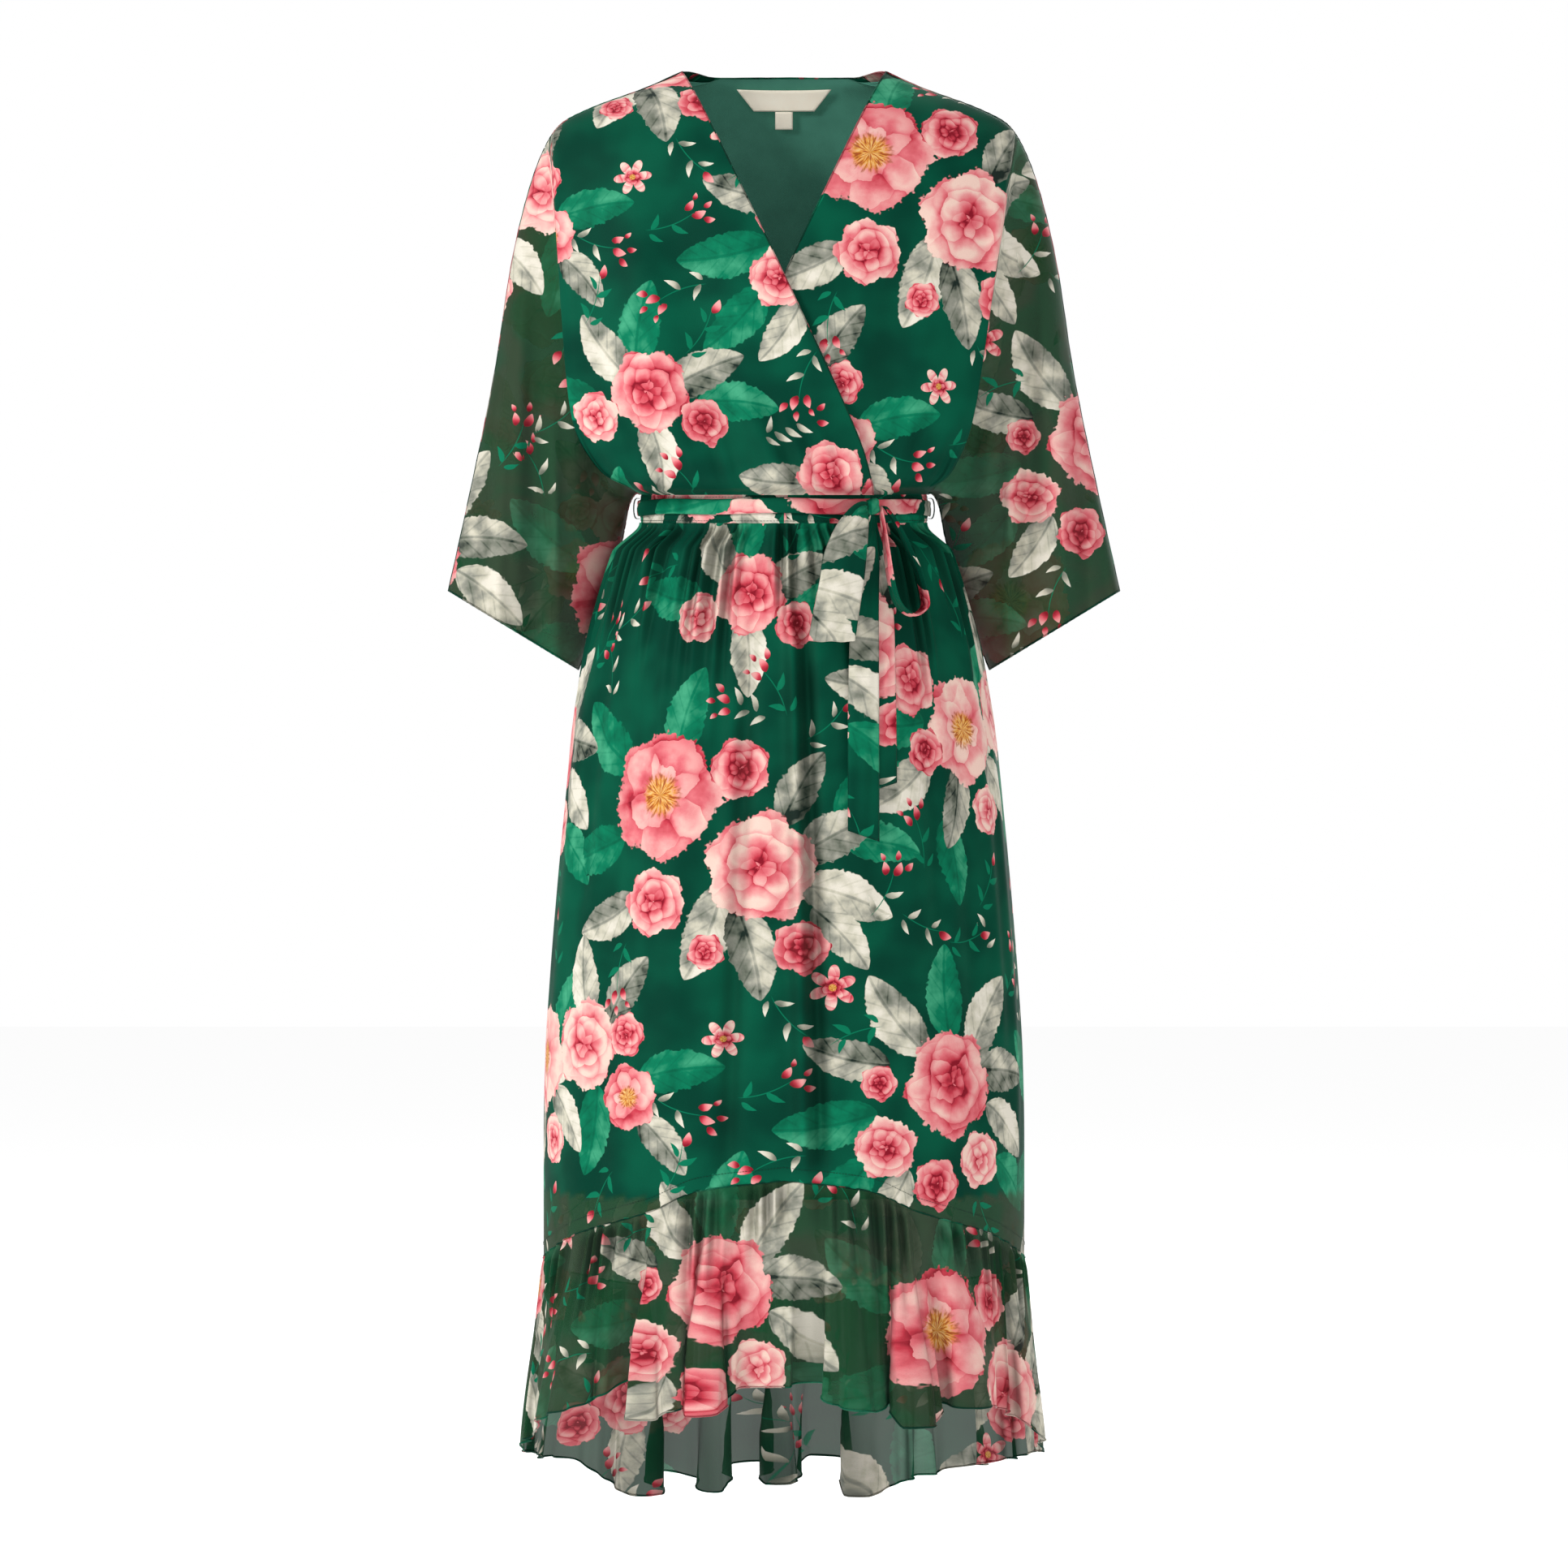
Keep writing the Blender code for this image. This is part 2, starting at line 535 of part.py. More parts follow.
def skirt_lining_surface(across, down):
    """The lining tube inside the skirt."""
    turn = 2 * np.pi * across
    front = np.cos(turn) > 0
    deep = np.where(front, WAIST_FRONT, WAIST_BACK)
    top_z = WAIST_Z - WAIST_TILT * deep * np.cos(turn) - CASING_HEIGHT - 3 * SEAM_GAP
    fall = down**1.4
    z = top_z + (LINING_HEM_Z - top_z) * fall
    join = 1 - ease(0.0, 0.12, fall)
    front_depth = smooth(SKIRT["z"], SKIRT["front"], z)
    back_depth = smooth(SKIRT["z"], SKIRT["back"], z)
    half = smooth(SKIRT["z"], SKIRT["half"], z) - LINING_EASE
    depth = np.where(front, front_depth, back_depth) - LINING_EASE
    half = half + (WAIST_HALF - half) * join
    depth = depth + (deep - depth) * join
    return np.column_stack([half * np.sin(turn), -depth * np.cos(turn), z])


def skirt_face(x, z, off):
    """y at (x, z) of a surface that stands `off` in front of the skirt's outer face."""
    half = smooth(SKIRT["z"], SKIRT["half"], z)
    depth = smooth(SKIRT["z"], SKIRT["front"], z)
    ratio = np.clip(x / half, -0.98, 0.98)
    return -(depth + off) * np.sqrt(1 - ratio**2)


def knot_frame():
    """The knot's middle, and the directions sideways, outwards and up from it."""
    outset = CASING_WALL + BELT_WALL + 2 * SEAM_GAP + KNOT_SIZE[1] / 2
    turn = math.asin(KNOT_X / (WAIST_HALF + outset))
    middle = belt_point(np.array([math.degrees(turn)]), outset, BELT_HEIGHT / 2)[0]
    facing = math.atan2(WAIST_FRONT * math.sin(turn), WAIST_HALF * math.cos(turn))
    sideways = (math.cos(facing), math.sin(facing), 0.0)
    outwards = (math.sin(facing), -math.cos(facing), 0.0)
    return middle, np.array([sideways, outwards, (0.0, 0.0, 1.0)])


def from_knot(root, side, hanging, *weights):
    """Hanging points, drawn to their root on the knot where the weights of x, y and z are 0."""
    middle, directions = knot_frame()
    place = np.array(ROOTS[root]["at"]) + side[:, None] * np.array(ROOTS[root]["half"])
    weight = np.column_stack(weights)
    return hanging * weight + (middle + place @ directions) * (1 - weight)


def tail(name, table, root, off, slant, rows=12):
    """A sash end that hangs down the skirt from under the knot."""
    start_z = knot_frame()[0][2] - KNOT_SIZE[2] / 2

    def surface(across, down):
        drop = table["drop"][0] + (table["drop"][-1] - table["drop"][0]) * down**1.4
        side = 2 * across - 1
        x = smooth(table["drop"], table["x"], drop)
        x = x + side * smooth(table["drop"], table["half"], drop)
        z = start_z - drop - side * slant * down**4
        ripple = 0.0012 * np.sin(2 * np.pi * (1.5 * down + 0.3 * across))
        y = skirt_face(x, z, off) - ripple
        weights = ease(0.0, 0.050, drop), ease(0.0, 0.025, drop), ease(0.0, 0.1, down)
        return from_knot(root, side, np.column_stack([x, y, z]), *weights)

    return cloth(name, "print", 3, rows, surface, wall=SASH_WALL, inside_out=True)


def wide_loop(name, off, rows=22):
    """The flat loop of the bow: down in front, round a soft fold and up behind."""
    start_z = knot_frame()[0][2]
    drop_end = WIDE_LOOP["drop"][-1]

    def surface(across, down):
        side = 2 * across - 1
        leaf = 1 - np.abs(2 * down - 1)
        drop = drop_end * np.sin(np.pi / 2 * np.clip(leaf * 1.04, 0, 1)) ** 0.9
        apart = np.cos(np.pi * np.clip((down - 0.42) / 0.16, 0, 1))
        gap = 0.0048 * (1 - 0.35 * ease(0.0, 0.7, leaf))
        x = smooth(WIDE_LOOP["drop"], WIDE_LOOP["x"], drop)
        x = x + side * smooth(WIDE_LOOP["drop"], WIDE_LOOP["half"], drop)
        z = start_z - drop
        y = skirt_face(x, np.minimum(z, SASH_TOP_Z), off) - apart * gap
        hanging = np.column_stack([x, y, z])
        weights = ease(0.0, 0.30, leaf), ease(0.0, 0.24, leaf), ease(0.05, 0.35, leaf)
        front = from_knot("wide loop's front", side, hanging, *weights)
        back = from_knot("wide loop's back", side, hanging, *weights)
        return np.where((down < 0.5)[:, None], front, back)

    return cloth(name, "print", 3, rows, surface, wall=SASH_WALL, inside_out=True)


def narrow_loop(name, off, rows=26):
    """The loop of the bow that is seen on its edge."""
    start_z = knot_frame()[0][2]
    marks = np.linspace(0, 1, len(NARROW_LOOP["x"]))

    def surface(across, down):
        side = 2 * across - 1
        half = NARROW_LOOP_HALF * (0.35 + 0.65 * np.sin(np.pi * down) ** 0.6)
        x = smooth(marks, NARROW_LOOP["x"], down) - side * 0.30 * half
        z = start_z - smooth(marks, NARROW_LOOP["drop"], down)
        y = skirt_face(x, np.minimum(z, SASH_TOP_Z), off) - NARROW_LOOP_HALF + side * half
        hanging = np.column_stack([x, y, z])
        leave, arrive = ease(0.0, 0.2, down), ease(0.0, 0.2, 1 - down)
        start = from_knot("narrow loop's start", side, hanging, leave, leave, leave)
        end = from_knot("narrow loop's end", side, hanging, arrive, arrive, arrive)
        return np.where((down < 0.5)[:, None], start, end)

    return cloth(name, "print", 3, rows, surface, wall=SASH_WALL)


def knot(name):
    """The knot: a block with well rounded edges, in front of the belt."""
    bm = bmesh.new()
    bmesh.ops.create_cube(bm, size=1.0)
    bmesh.ops.scale(bm, vec=KNOT_SIZE, verts=bm.verts)
    mesh = bpy.data.meshes.new(name)
    bm.to_mesh(mesh)
    bm.free()
    piece = add_object(name, mesh, "print")
    round_edges = piece.modifiers.new("rounded", "BEVEL")
    round_edges.width = KNOT_ROUNDING
    round_edges.segments = 3
    middle, directions = knot_frame()
    piece.location = middle
    piece.rotation_euler = (0, 0, math.atan2(directions[0, 1], directions[0, 0]))
    return piece


def carrier(name, side):
    """A thread loop at the side seam that keeps the belt in place."""
    path = bpy.data.curves.new(name, "CURVE")
    path.dimensions = "3D"
    path.bevel_depth = CARRIER_RADIUS
    path.bevel_resolution = 1
    path.use_fill_caps = True
    line = path.splines.new("POLY")
    turns = np.linspace(0, np.pi, 9)
    line.points.add(len(turns) - 1)
    for point, turn in zip(line.points, turns):
        over_belt = (BELT_WALL + CARRIER_SLACK) * math.sin(turn) ** 0.5
        out = CASING_WALL + CARRIER_RADIUS + SEAM_GAP + over_belt
        below = BELT_HEIGHT / 2 - (BELT_HEIGHT / 2 + CARRIER_SLACK) * math.cos(turn)
        place = belt_point(np.array([side * 90.0]), out, below)[0]
        point.co = (*place, 1.0)
    return add_object(name, path, "thread")


def neck_piece(name, size, off):
    """A label on the back lining: the lining's own points, moved in towards the neck."""

    def surface(across, down):
        half = size["top_half"] + (size["bottom_half"] - size["top_half"]) * down
        x = (2 * across - 1) * half
        z = BACK_NECK_RISE - size["below"] - size["height"] * down
        step = 1e-3
        depth = torso_depth(x, z, "back")
        slope_x = (torso_depth(x + step, z, "back") - depth) / step
        slope_z = (torso_depth(x, z + step, "back") - depth) / step
        inward = (LINING_SET_IN + off) * np.sqrt(1 + slope_x**2 + slope_z**2)
        return np.column_stack([x, depth - WALL - inward, z])

    return cloth(name, "label", 6, 2, surface, wall=LABEL_WALL, inside_out=True)


def main():
    for old in list(bpy.data.objects):
        bpy.data.objects.remove(old)
    bpy.context.scene.collection.children.link(bpy.data.collections.new("wrap_dress"))

    bodice_front("front_right", -1, upper=True)
    bodice_front("front_left", 1, upper=False)
    cloth("back", "print", 2 * HALF_COLUMNS, BODICE_ROWS, back_surface)
    cloth("lining_back", "lining", LINING_COLUMNS, BODICE_ROWS, back_lining_surface, wall=LINING_WALL)

    waist_ring("waist_casing", waist_point, 0.0, CASING_HEIGHT, CASING_WALL)
    for face in ("front", "back"):
        turned = face == "front"
        cloth(
            f"skirt_{face}",
            "print",
            2 * WAIST_GATHERS,
            10,
            lambda across, down, face=face: skirt_half(across, down, face),
            inside_out=turned,
        )
        cloth(
            f"ruffle_{face}",
            "print",
            2 * RUFFLE_GATHERS,
            5,
            lambda across, down, face=face: ruffle_half(across, down, face),
            inside_out=turned,
        )
    cloth("lining_skirt", "lining", 30, 5, skirt_lining_surface, LINING_WALL, inside_out=True, ring=True)

    waist_ring("belt_band", belt_point, CASING_WALL + SEAM_GAP, BELT_HEIGHT, BELT_WALL)
    knot("belt_knot")
    tail("belt_tail_short", SHORT_TAIL, "short tail", 0.008, SHORT_TAIL_SLANT)
    tail("belt_tail_long", LONG_TAIL, "long tail", 0.013, LONG_TAIL_SLANT)
    wide_loop("bow_loop_wide", 0.026)
    narrow_loop("bow_loop_narrow", 0.012)
    carrier("belt_carrier_right", -1)
    carrier("belt_carrier_left", 1)

    neck_piece("neck_label", LABEL, LABEL_SET_IN)
    neck_piece("size_tab", TAB, LABEL_SET_IN)


main()
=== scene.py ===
# %% [markdown]
# # A wrap dress in printed chiffon
# The model that was packed from the solids is the fixed frame of this lesson: every piece of cloth
# made below lies where its solid lies. We load it first and keep its box, so that at the end it can
# be printed beside the box of the dress.

# %% Load the frame
import math

import bmesh
import bpy
import numpy as np
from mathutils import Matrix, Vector


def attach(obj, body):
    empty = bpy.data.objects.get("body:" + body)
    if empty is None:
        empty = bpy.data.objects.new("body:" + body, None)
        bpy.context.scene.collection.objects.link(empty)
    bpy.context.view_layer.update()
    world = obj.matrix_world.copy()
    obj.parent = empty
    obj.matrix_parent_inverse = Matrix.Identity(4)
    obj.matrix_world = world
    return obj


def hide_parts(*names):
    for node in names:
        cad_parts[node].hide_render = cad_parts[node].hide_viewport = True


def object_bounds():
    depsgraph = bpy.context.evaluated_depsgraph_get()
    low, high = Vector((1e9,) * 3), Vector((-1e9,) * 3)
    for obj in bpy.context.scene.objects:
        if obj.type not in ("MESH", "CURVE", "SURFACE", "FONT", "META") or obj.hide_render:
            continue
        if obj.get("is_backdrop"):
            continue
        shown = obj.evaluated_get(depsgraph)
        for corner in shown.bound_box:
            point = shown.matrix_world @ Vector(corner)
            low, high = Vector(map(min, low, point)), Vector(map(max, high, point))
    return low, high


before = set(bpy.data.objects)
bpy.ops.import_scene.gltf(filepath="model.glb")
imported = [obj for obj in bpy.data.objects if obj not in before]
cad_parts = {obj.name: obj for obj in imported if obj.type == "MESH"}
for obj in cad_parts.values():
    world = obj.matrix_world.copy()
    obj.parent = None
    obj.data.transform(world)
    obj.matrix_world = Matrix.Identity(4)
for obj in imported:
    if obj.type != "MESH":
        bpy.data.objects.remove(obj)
cad_box = [list(corner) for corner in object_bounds()]
NODES = set(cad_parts)
print("solids:", len(NODES), "box:", [[round(v, 3) for v in corner] for corner in cad_box])

# %% [markdown]
# ## Camera, floor and light
# A dress that is shown filled out, with nobody in it, is best seen from the front at half its
# height, from far enough away that the hem isn't foreshortened. The floor is pale and flat, and the
# sky is as bright to the camera as the floor, so no line shows where they meet and the dress can be
# walked round. To the cloth the sky is dimmer, and big soft lights leave gentle shade in the folds.

# %% Camera, floor and light
CAMERA_DISTANCE = 4.5
CAMERA_HEIGHT = -0.65775
FIELD = 1.449
FLOOR_Z, FLOOR_REACH = -1.48, 12.0
FLOOR_FINISH = {
    "Base Color": (0.93, 0.93, 0.93, 1),
    "Roughness": 1.0,
    "Specular IOR Level": 0.0,
    "Emission Color": (1, 1, 1, 1),
    "Emission Strength": 0.50,
}
AMBIENT, PALE = 0.50, 1.0
MID_DRESS = -0.7
# name, place, what it is aimed at, size across in metres, watts
LIGHTS = (
    ("key", (-2.7, -2.3, 1.3), (0, 0, -0.6), 1.0, 84),
    ("fill", (1.6, -3.6, 0.2), (0, 0, MID_DRESS), 2.4, 16),
    ("top", (0.0, 1.4, 2.6), (0, 0.4, MID_DRESS), 2.0, 24),
    ("back", (1.5, 3.4, 0.4), (0, 0, MID_DRESS), 2.4, 40),
)


def look_from_front():
    """A long lens straight in front of the dress, at half its height."""
    lens = bpy.data.cameras.new("camera")
    lens.angle = 2 * math.atan(FIELD / 2 / CAMERA_DISTANCE)
    lens.clip_end = 30
    camera = bpy.data.objects.new("camera", lens)
    camera.location = (0, -CAMERA_DISTANCE, CAMERA_HEIGHT)
    camera.rotation_euler = (math.radians(90), 0, 0)
    bpy.context.scene.collection.objects.link(camera)
    bpy.context.scene.camera = camera


def plain_floor():
    """A pale square floor, far wider than the picture."""
    mesh = bpy.data.meshes.new("floor")
    corners = ((-1, -1), (1, -1), (1, 1), (-1, 1))
    mesh.from_pydata([(x * FLOOR_REACH, y * FLOOR_REACH, FLOOR_Z) for x, y in corners], [], [(0, 1, 2, 3)])
    ground = bpy.data.objects.new("floor", mesh)
    bpy.context.scene.collection.objects.link(ground)
    paint = bpy.data.materials.new("floor")
    paint.use_nodes = True
    for socket, value in FLOOR_FINISH.items():
        paint.node_tree.nodes["Principled BSDF"].inputs[socket].default_value = value
    mesh.materials.append(paint)
    ground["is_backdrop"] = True


def soft_light(name, place, aim, size, watts):
    """A round soft light at a place, turned to what it is aimed at."""
    lamp = bpy.data.lights.new(name, "AREA")
    lamp.shape = "DISK"
    lamp.size = size
    lamp.energy = watts
    light = bpy.data.objects.new(name, lamp)
    light.location = place
    light.rotation_euler = (Vector(aim) - Vector(place)).to_track_quat("-Z", "Y").to_euler()
    bpy.context.scene.collection.objects.link(light)


def pale_sky():
    """A sky that is white to the camera and dimmer to the cloth."""
    sky = bpy.data.worlds.new("studio")
    sky.use_nodes = True
    graph = sky.node_tree
    light_path, brightness = graph.nodes.new("ShaderNodeLightPath"), graph.nodes.new("ShaderNodeMapRange")
    brightness.inputs["To Min"].default_value = AMBIENT
    brightness.inputs["To Max"].default_value = PALE
    graph.links.new(light_path.outputs["Is Camera Ray"], brightness.inputs["Value"])
    graph.links.new(brightness.outputs[0], graph.nodes["Background"].inputs["Strength"])
    graph.nodes["Background"].inputs["Color"].default_value = (1, 1, 1, 1)
    bpy.context.scene.world = sky


look_from_front()
plain_floor()
for lamp in LIGHTS:
    soft_light(*lamp)
pale_sky()
bpy.context.scene.view_settings.view_transform = "Standard"
print("camera", CAMERA_DISTANCE, "m in front, field", FIELD, "m, lights", len(LIGHTS))

# %% [markdown]
# ## Curves from short tables
# A pattern cutter writes a curve as a few measures: so wide at the waist, so wide at the hip. We do
# the same. `smooth` runs through such a table without overshooting, `ease` is a soft step from 0 to
# 1, and `along` walks down a line at an even pace. Long tables are written in millimetres.


# %% Curve helpers
TURN = 2 * np.pi


def smooth(keys, values, at):
    """A smooth curve through (keys, values) that doesn't overshoot, read at `at`."""
    keys, values, at = (np.asarray(a, float) for a in (keys, values, at))
    step = np.diff(keys)
    slope = np.diff(values) / step
    tangent = np.zeros_like(values)
    same_way = slope[:-1] * slope[1:] > 0
    mean = 2 * slope[:-1] * slope[1:] / np.where(same_way, slope[:-1] + slope[1:], 1)
    tangent[1:-1] = np.where(same_way, mean, 0)
    tangent[0], tangent[-1] = slope[0], slope[-1]
    at = np.clip(at, keys[0], keys[-1])
    i = np.clip(np.searchsorted(keys, at) - 1, 0, len(keys) - 2)
    t = (at - keys[i]) / step[i]
    rise = tangent[i] * step[i] * (t**3 - 2 * t**2 + t) + tangent[i + 1] * step[i] * (t**3 - t**2)
    return values[i] * (2 * t**3 - 3 * t**2 + 1) + values[i + 1] * (3 * t**2 - 2 * t**3) + rise


def ease(low, high, at):
    t = np.clip((np.asarray(at, float) - low) / (high - low), 0, 1)
    return t * t * (3 - 2 * t)


def walked(points):
    """How far each point of a line lies from its start, measured along it."""
    return np.concatenate([[0], np.cumsum(np.linalg.norm(np.diff(points, axis=0), axis=1))])


def along(table, fraction):
    """The points of a table's line, spaced by its length, as one array for each column."""
    points = np.column_stack(list(table.values()))
    length = walked(points)
    return [smooth(length / length[-1], table[name], fraction) for name in table]


def in_metres(unitless="", **table):
    """A table of measures written in millimetres, apart from one row, in the scene's metres."""
    return {name: row if name == unitless else tuple(v / 1000 for v in row) for name, row in table.items()}


def ridge(off, width):
    """A soft ridge across `off`, 1 at its middle."""
    return np.exp(-((off / width) ** 2))


print("halfway between 0 and 1:", float(ease(0, 1, 0.5)))

# %% [markdown]
# ## Shader maths as plain expressions
# Blender's materials are graphs of nodes. Wiring a hundred Math nodes by hand hides the idea, so a
# small class wraps a socket and overloads the operators: `1 - mask` adds its own Subtract node.


# %% Values that can be used in sums
def operator(operation, turned=False):
    """A method that adds one Math node, with its two values turned round where it is reflected."""

    def method(self, *other):
        return self.paint.math(operation, *((*other, self) if turned else (self, *other)))

    return method


class Value:
    """A socket that can be used in sums; each operator adds its Math node."""

    def __init__(self, paint, socket):
        self.paint, self.socket = paint, socket

    __add__ = __radd__ = operator("ADD")
    __sub__, __rsub__ = operator("SUBTRACT"), operator("SUBTRACT", turned=True)
    __mul__ = __rmul__ = operator("MULTIPLY")
    __truediv__, __rtruediv__ = operator("DIVIDE"), operator("DIVIDE", turned=True)
    __pow__, __abs__ = operator("POWER"), operator("ABSOLUTE")
    __gt__, __lt__ = operator("GREATER_THAN"), operator("LESS_THAN")


print("a value adds its own node for + - * / ** abs > <")

# %% [markdown]
# Every other node comes from `Paint.node`, which takes its settings first and then its sockets. Inks
# are written as on a printer's card and turned into the linear colours that Blender mixes.


# %% Paint
class Paint:
    """One material, its nodes and its Principled shader."""

    def __init__(self, name):
        self.material = bpy.data.materials.new(name)
        self.material.use_nodes = True
        self.tree = self.material.node_tree
        self.shader = self.tree.nodes["Principled BSDF"]

    def put(self, socket, value):
        if isinstance(value, Value):
            self.tree.links.new(value.socket, socket)
        else:
            socket.default_value = value

    def node(self, kind, settings=None, sockets=None, output=0):
        made = self.tree.nodes.new(kind)
        for name, value in (settings or {}).items():
            setattr(made, name, value)
        for name, value in (sockets or {}).items():
            self.put(made.inputs[name], value)
        return Value(self, made.outputs[output])

    def math(self, operation, *values):
        return self.node("ShaderNodeMath", {"operation": operation}, dict(enumerate(values)))

    def largest(self, first, *others):
        """The largest of several values, as a union of masks."""
        for other in others:
            first = self.math("MAXIMUM", first, other)
        return first

    def ease(self, low, high, value):
        settings = {"interpolation_type": "SMOOTHSTEP"}
        sockets = {"Value": value, "From Min": low, "From Max": high}
        return self.node("ShaderNodeMapRange", settings, sockets)

    def mix(self, factor, first, second):
        """A colour from first to second, as the factor goes from 0 to 1."""
        sockets = {0: factor, 6: first, 7: second}
        return self.node("ShaderNodeMix", {"data_type": "RGBA"}, sockets, output=2)

    def choose(self, factor, first, second):
        """A vector: first, or second where the factor is 1."""
        sockets = {0: factor, 4: first, 5: second}
        return self.node("ShaderNodeMix", {"data_type": "VECTOR"}, sockets, output=1)

    def vector(self, x, y, z=0.0):
        return self.node("ShaderNodeCombineXYZ", {}, {"X": x, "Y": y, "Z": z})

    def split(self, vector):
        made = self.tree.nodes.new("ShaderNodeSeparateXYZ")
        self.put(made.inputs[0], vector)
        return [Value(self, out) for out in made.outputs]

    def noise(self, vector, scale, detail=2.0):
        sockets = {"Vector": vector, "Scale": scale, "Detail": detail}
        return self.node("ShaderNodeTexNoise", {"noise_dimensions": "2D"}, sockets)

    def bump(self, height, strength, distance):
        sockets = {"Strength": strength, "Distance": distance, "Height": height}
        return self.node("ShaderNodeBump", {}, sockets)

    def attribute(self, name, output):
        return self.node("ShaderNodeAttribute", {"attribute_name": name}, output=output)

    def finish(self, **sockets):
        """Set the shader's sockets, each named with _ for a space, and hand over the material."""
        for name, value in sockets.items():
            self.put(self.shader.inputs[name.replace("_", " ")], value)
        return self.material


def ink(code):
    """A colour written as six hexadecimal digits, in the linear values that Blender reads."""
    parts = [int(code[i : i + 2], 16) / 255 for i in (0, 2, 4)]
    line = [c / 12.92 if c <= 0.04045 else ((c + 0.055) / 1.055) ** 2.4 for c in parts]
    return (*line, 1.0)


print("emerald ink:", [round(c, 3) for c in ink("0A9267")])

# %% [markdown]
# ## The print
# The chiffon is printed with bouquets: large roses and peonies, smaller roses, buds, cream and grey
# leaves, and plain emerald leaves behind them, on a deep green ground. A picture file could hold
# it, but it would blur close up. Here each motif is drawn by maths in its own small square of
# cloth, from -1 to 1, and every panel's mesh carries, for each layer of the print, where a point
# lies in that square. So one rose formula draws every rose, and a new rose costs no new nodes.

# %% Inks and layers of the print
GROUND_DARK, GROUND_LIGHT, VINE = ink("003A2B"), ink("02533C"), ink("04694C")
# Painted shade seen through the sheer cloth, in green and in olive
SHEER_SHADE, WARM_SHADE = ink("1C4420"), ink("37341C")
# The first is a painted shade for folds; the second is the darker colour of cloth rolled in several layers
PAINTED_FOLD_SHADE, LAYERED_INK = ink("062016"), ink("101A16")
EMERALD_DARK, EMERALD, EMERALD_LIGHT = ink("035A40"), ink("077A57"), ink("46A77F")
MID_LEAF, PALE_LEAF, PALEST_LEAF = ink("96968A"), ink("C6C2AF"), ink("E2DCCD")
GREY_LEAF, DARK_GREY = ink("6C7164"), ink("1E2A25")
WHITE_PINK, BLUSH, PINK = ink("EFCCBE"), ink("E9A6A2"), ink("DD7078")
DEEP_PINK, CRIMSON = ink("C13A49"), ink("861626")
POLLEN, POLLEN_DARK, POLLEN_LIGHT = ink("D8922C"), ink("9C4F1C"), ink("E8C47A")
SHAPES = {"emerald": "leaf", "pale": "leaf", "bloom": "bloom", "sprig": "sprig"}
LAYERS = {family + level: shape for family, shape in SHAPES.items() for level in ("_low", "_high")}
# A bloom's or a sprig's kind is one of these, and what follows a bloom's point is its own seed
ROSE, PEONY, DAISY = 0.0, 1.0, 2.0
BUD, CREAM_LEAFLET, GREEN_LEAFLET, STEM = 0.0, 1.0, 2.0, 3.0
KIND_EDGE = 0.005
NO_MOTIF = 9.0
LEAF_BEND, SPRIG_BEND = 0.10, 0.16
LOBES = ((5, 6.28, 0.05), (8, -12.6, 0.035))


def leaf_outline(paint, layer, rough):
    """1 inside a leaf that points along x, with a waved and slightly torn edge."""
    x, y, _ = paint.split(layer)
    taper = paint.largest(1 - x * x, 0.0)
    half = taper**0.66 * (0.48 - 0.10 * x) + (rough - 0.5) * 0.14 * taper
    return paint.ease(0.0, 0.03, half - abs(y + LEAF_BEND * x * x))


def bloom_outline(paint, layer, rough):
    """1 inside a flower: a round lobed edge, or separate petals on a daisy."""
    x, y, kind = paint.split(layer)
    radius = paint.math("SQRT", x * x + y * y)
    angle = paint.math("ARCTAN2", y, x)
    seed = paint.math("FRACT", kind)
    edge = 0.88 + (rough - 0.5) * 0.16
    for count, turn, height in LOBES:
        edge = edge + paint.math("COSINE", angle * count + seed * turn) * height
    petals = abs(paint.math("COSINE", angle * 3 + seed * 6.28))
    daisy = kind > DAISY - KIND_EDGE
    edge = edge + daisy * (0.35 + petals * 0.6 - edge)
    return paint.ease(0.0, 0.025, edge - radius)


def sprig_outline(paint, layer, rough):
    """1 inside a bud or a leaflet, a small drop that points along x, or on a stem, a thin line."""
    x, y, kind = paint.split(layer)
    taper = paint.largest(1 - x * x, 0.0)
    bud = kind < CREAM_LEAFLET - KIND_EDGE
    stem = (kind > STEM - KIND_EDGE) * (kind < STEM + 0.5)
    half = taper**0.7 * (0.34 + bud * 0.24 - 0.16 * x) + (rough - 0.5) * 0.12 * taper
    half = half + stem * (0.035 * taper**0.3 - half)
    return paint.ease(0.0, 0.08 - stem * 0.05, half - abs(y - SPRIG_BEND * x * x))


print("layers of the print:", len(LAYERS))

# %% [markdown]
# ## Petals and leaves
# A rose is rings of petals, each light at its rim and dark where it slips under the next one. Cell
# noise (Voronoi) wrapped round a cylinder gives just that: its cells are the petals, and how far a
# point lies above its cell's middle says whether it is rim or shadow. A leaf gets a midrib, side
# veins and one shaded half. A wash of slow noise runs through all of it, as water does in paint.


# %% Colours inside the motifs
PETAL_RANDOMNESS = 0.8
ROSE_RINGS, PEONY_RINGS = 3.3, 2.0
PETALS_ROUND = 1.25
ROSE_STOPS = [(0.0, CRIMSON), (0.2, DEEP_PINK), (0.46, PINK), (0.76, BLUSH), (1.0, WHITE_PINK)]
POLLEN_STOPS = [(0.35, POLLEN_DARK), (0.5, POLLEN), (0.66, POLLEN_LIGHT)]
BUD_STOPS = [(0.0, CRIMSON), (0.3, DEEP_PINK), (0.6, PINK), (1.0, BLUSH)]
CREAM_STOPS = [(0.0, GREY_LEAF), (0.5, PALE_LEAF), (1.0, PALEST_LEAF)]


def ramp(paint, value, stops):
    """The colour of a value between stops, each a place and its ink."""
    made = paint.tree.nodes.new("ShaderNodeValToRGB")
    line = made.color_ramp
    while len(line.elements) < len(stops):
        line.elements.new(1.0)
    for element, (place, colour) in zip(line.elements, stops):
        element.position, element.color = place, colour
    paint.put(made.inputs[0], value)
    return Value(paint, made.outputs[0])


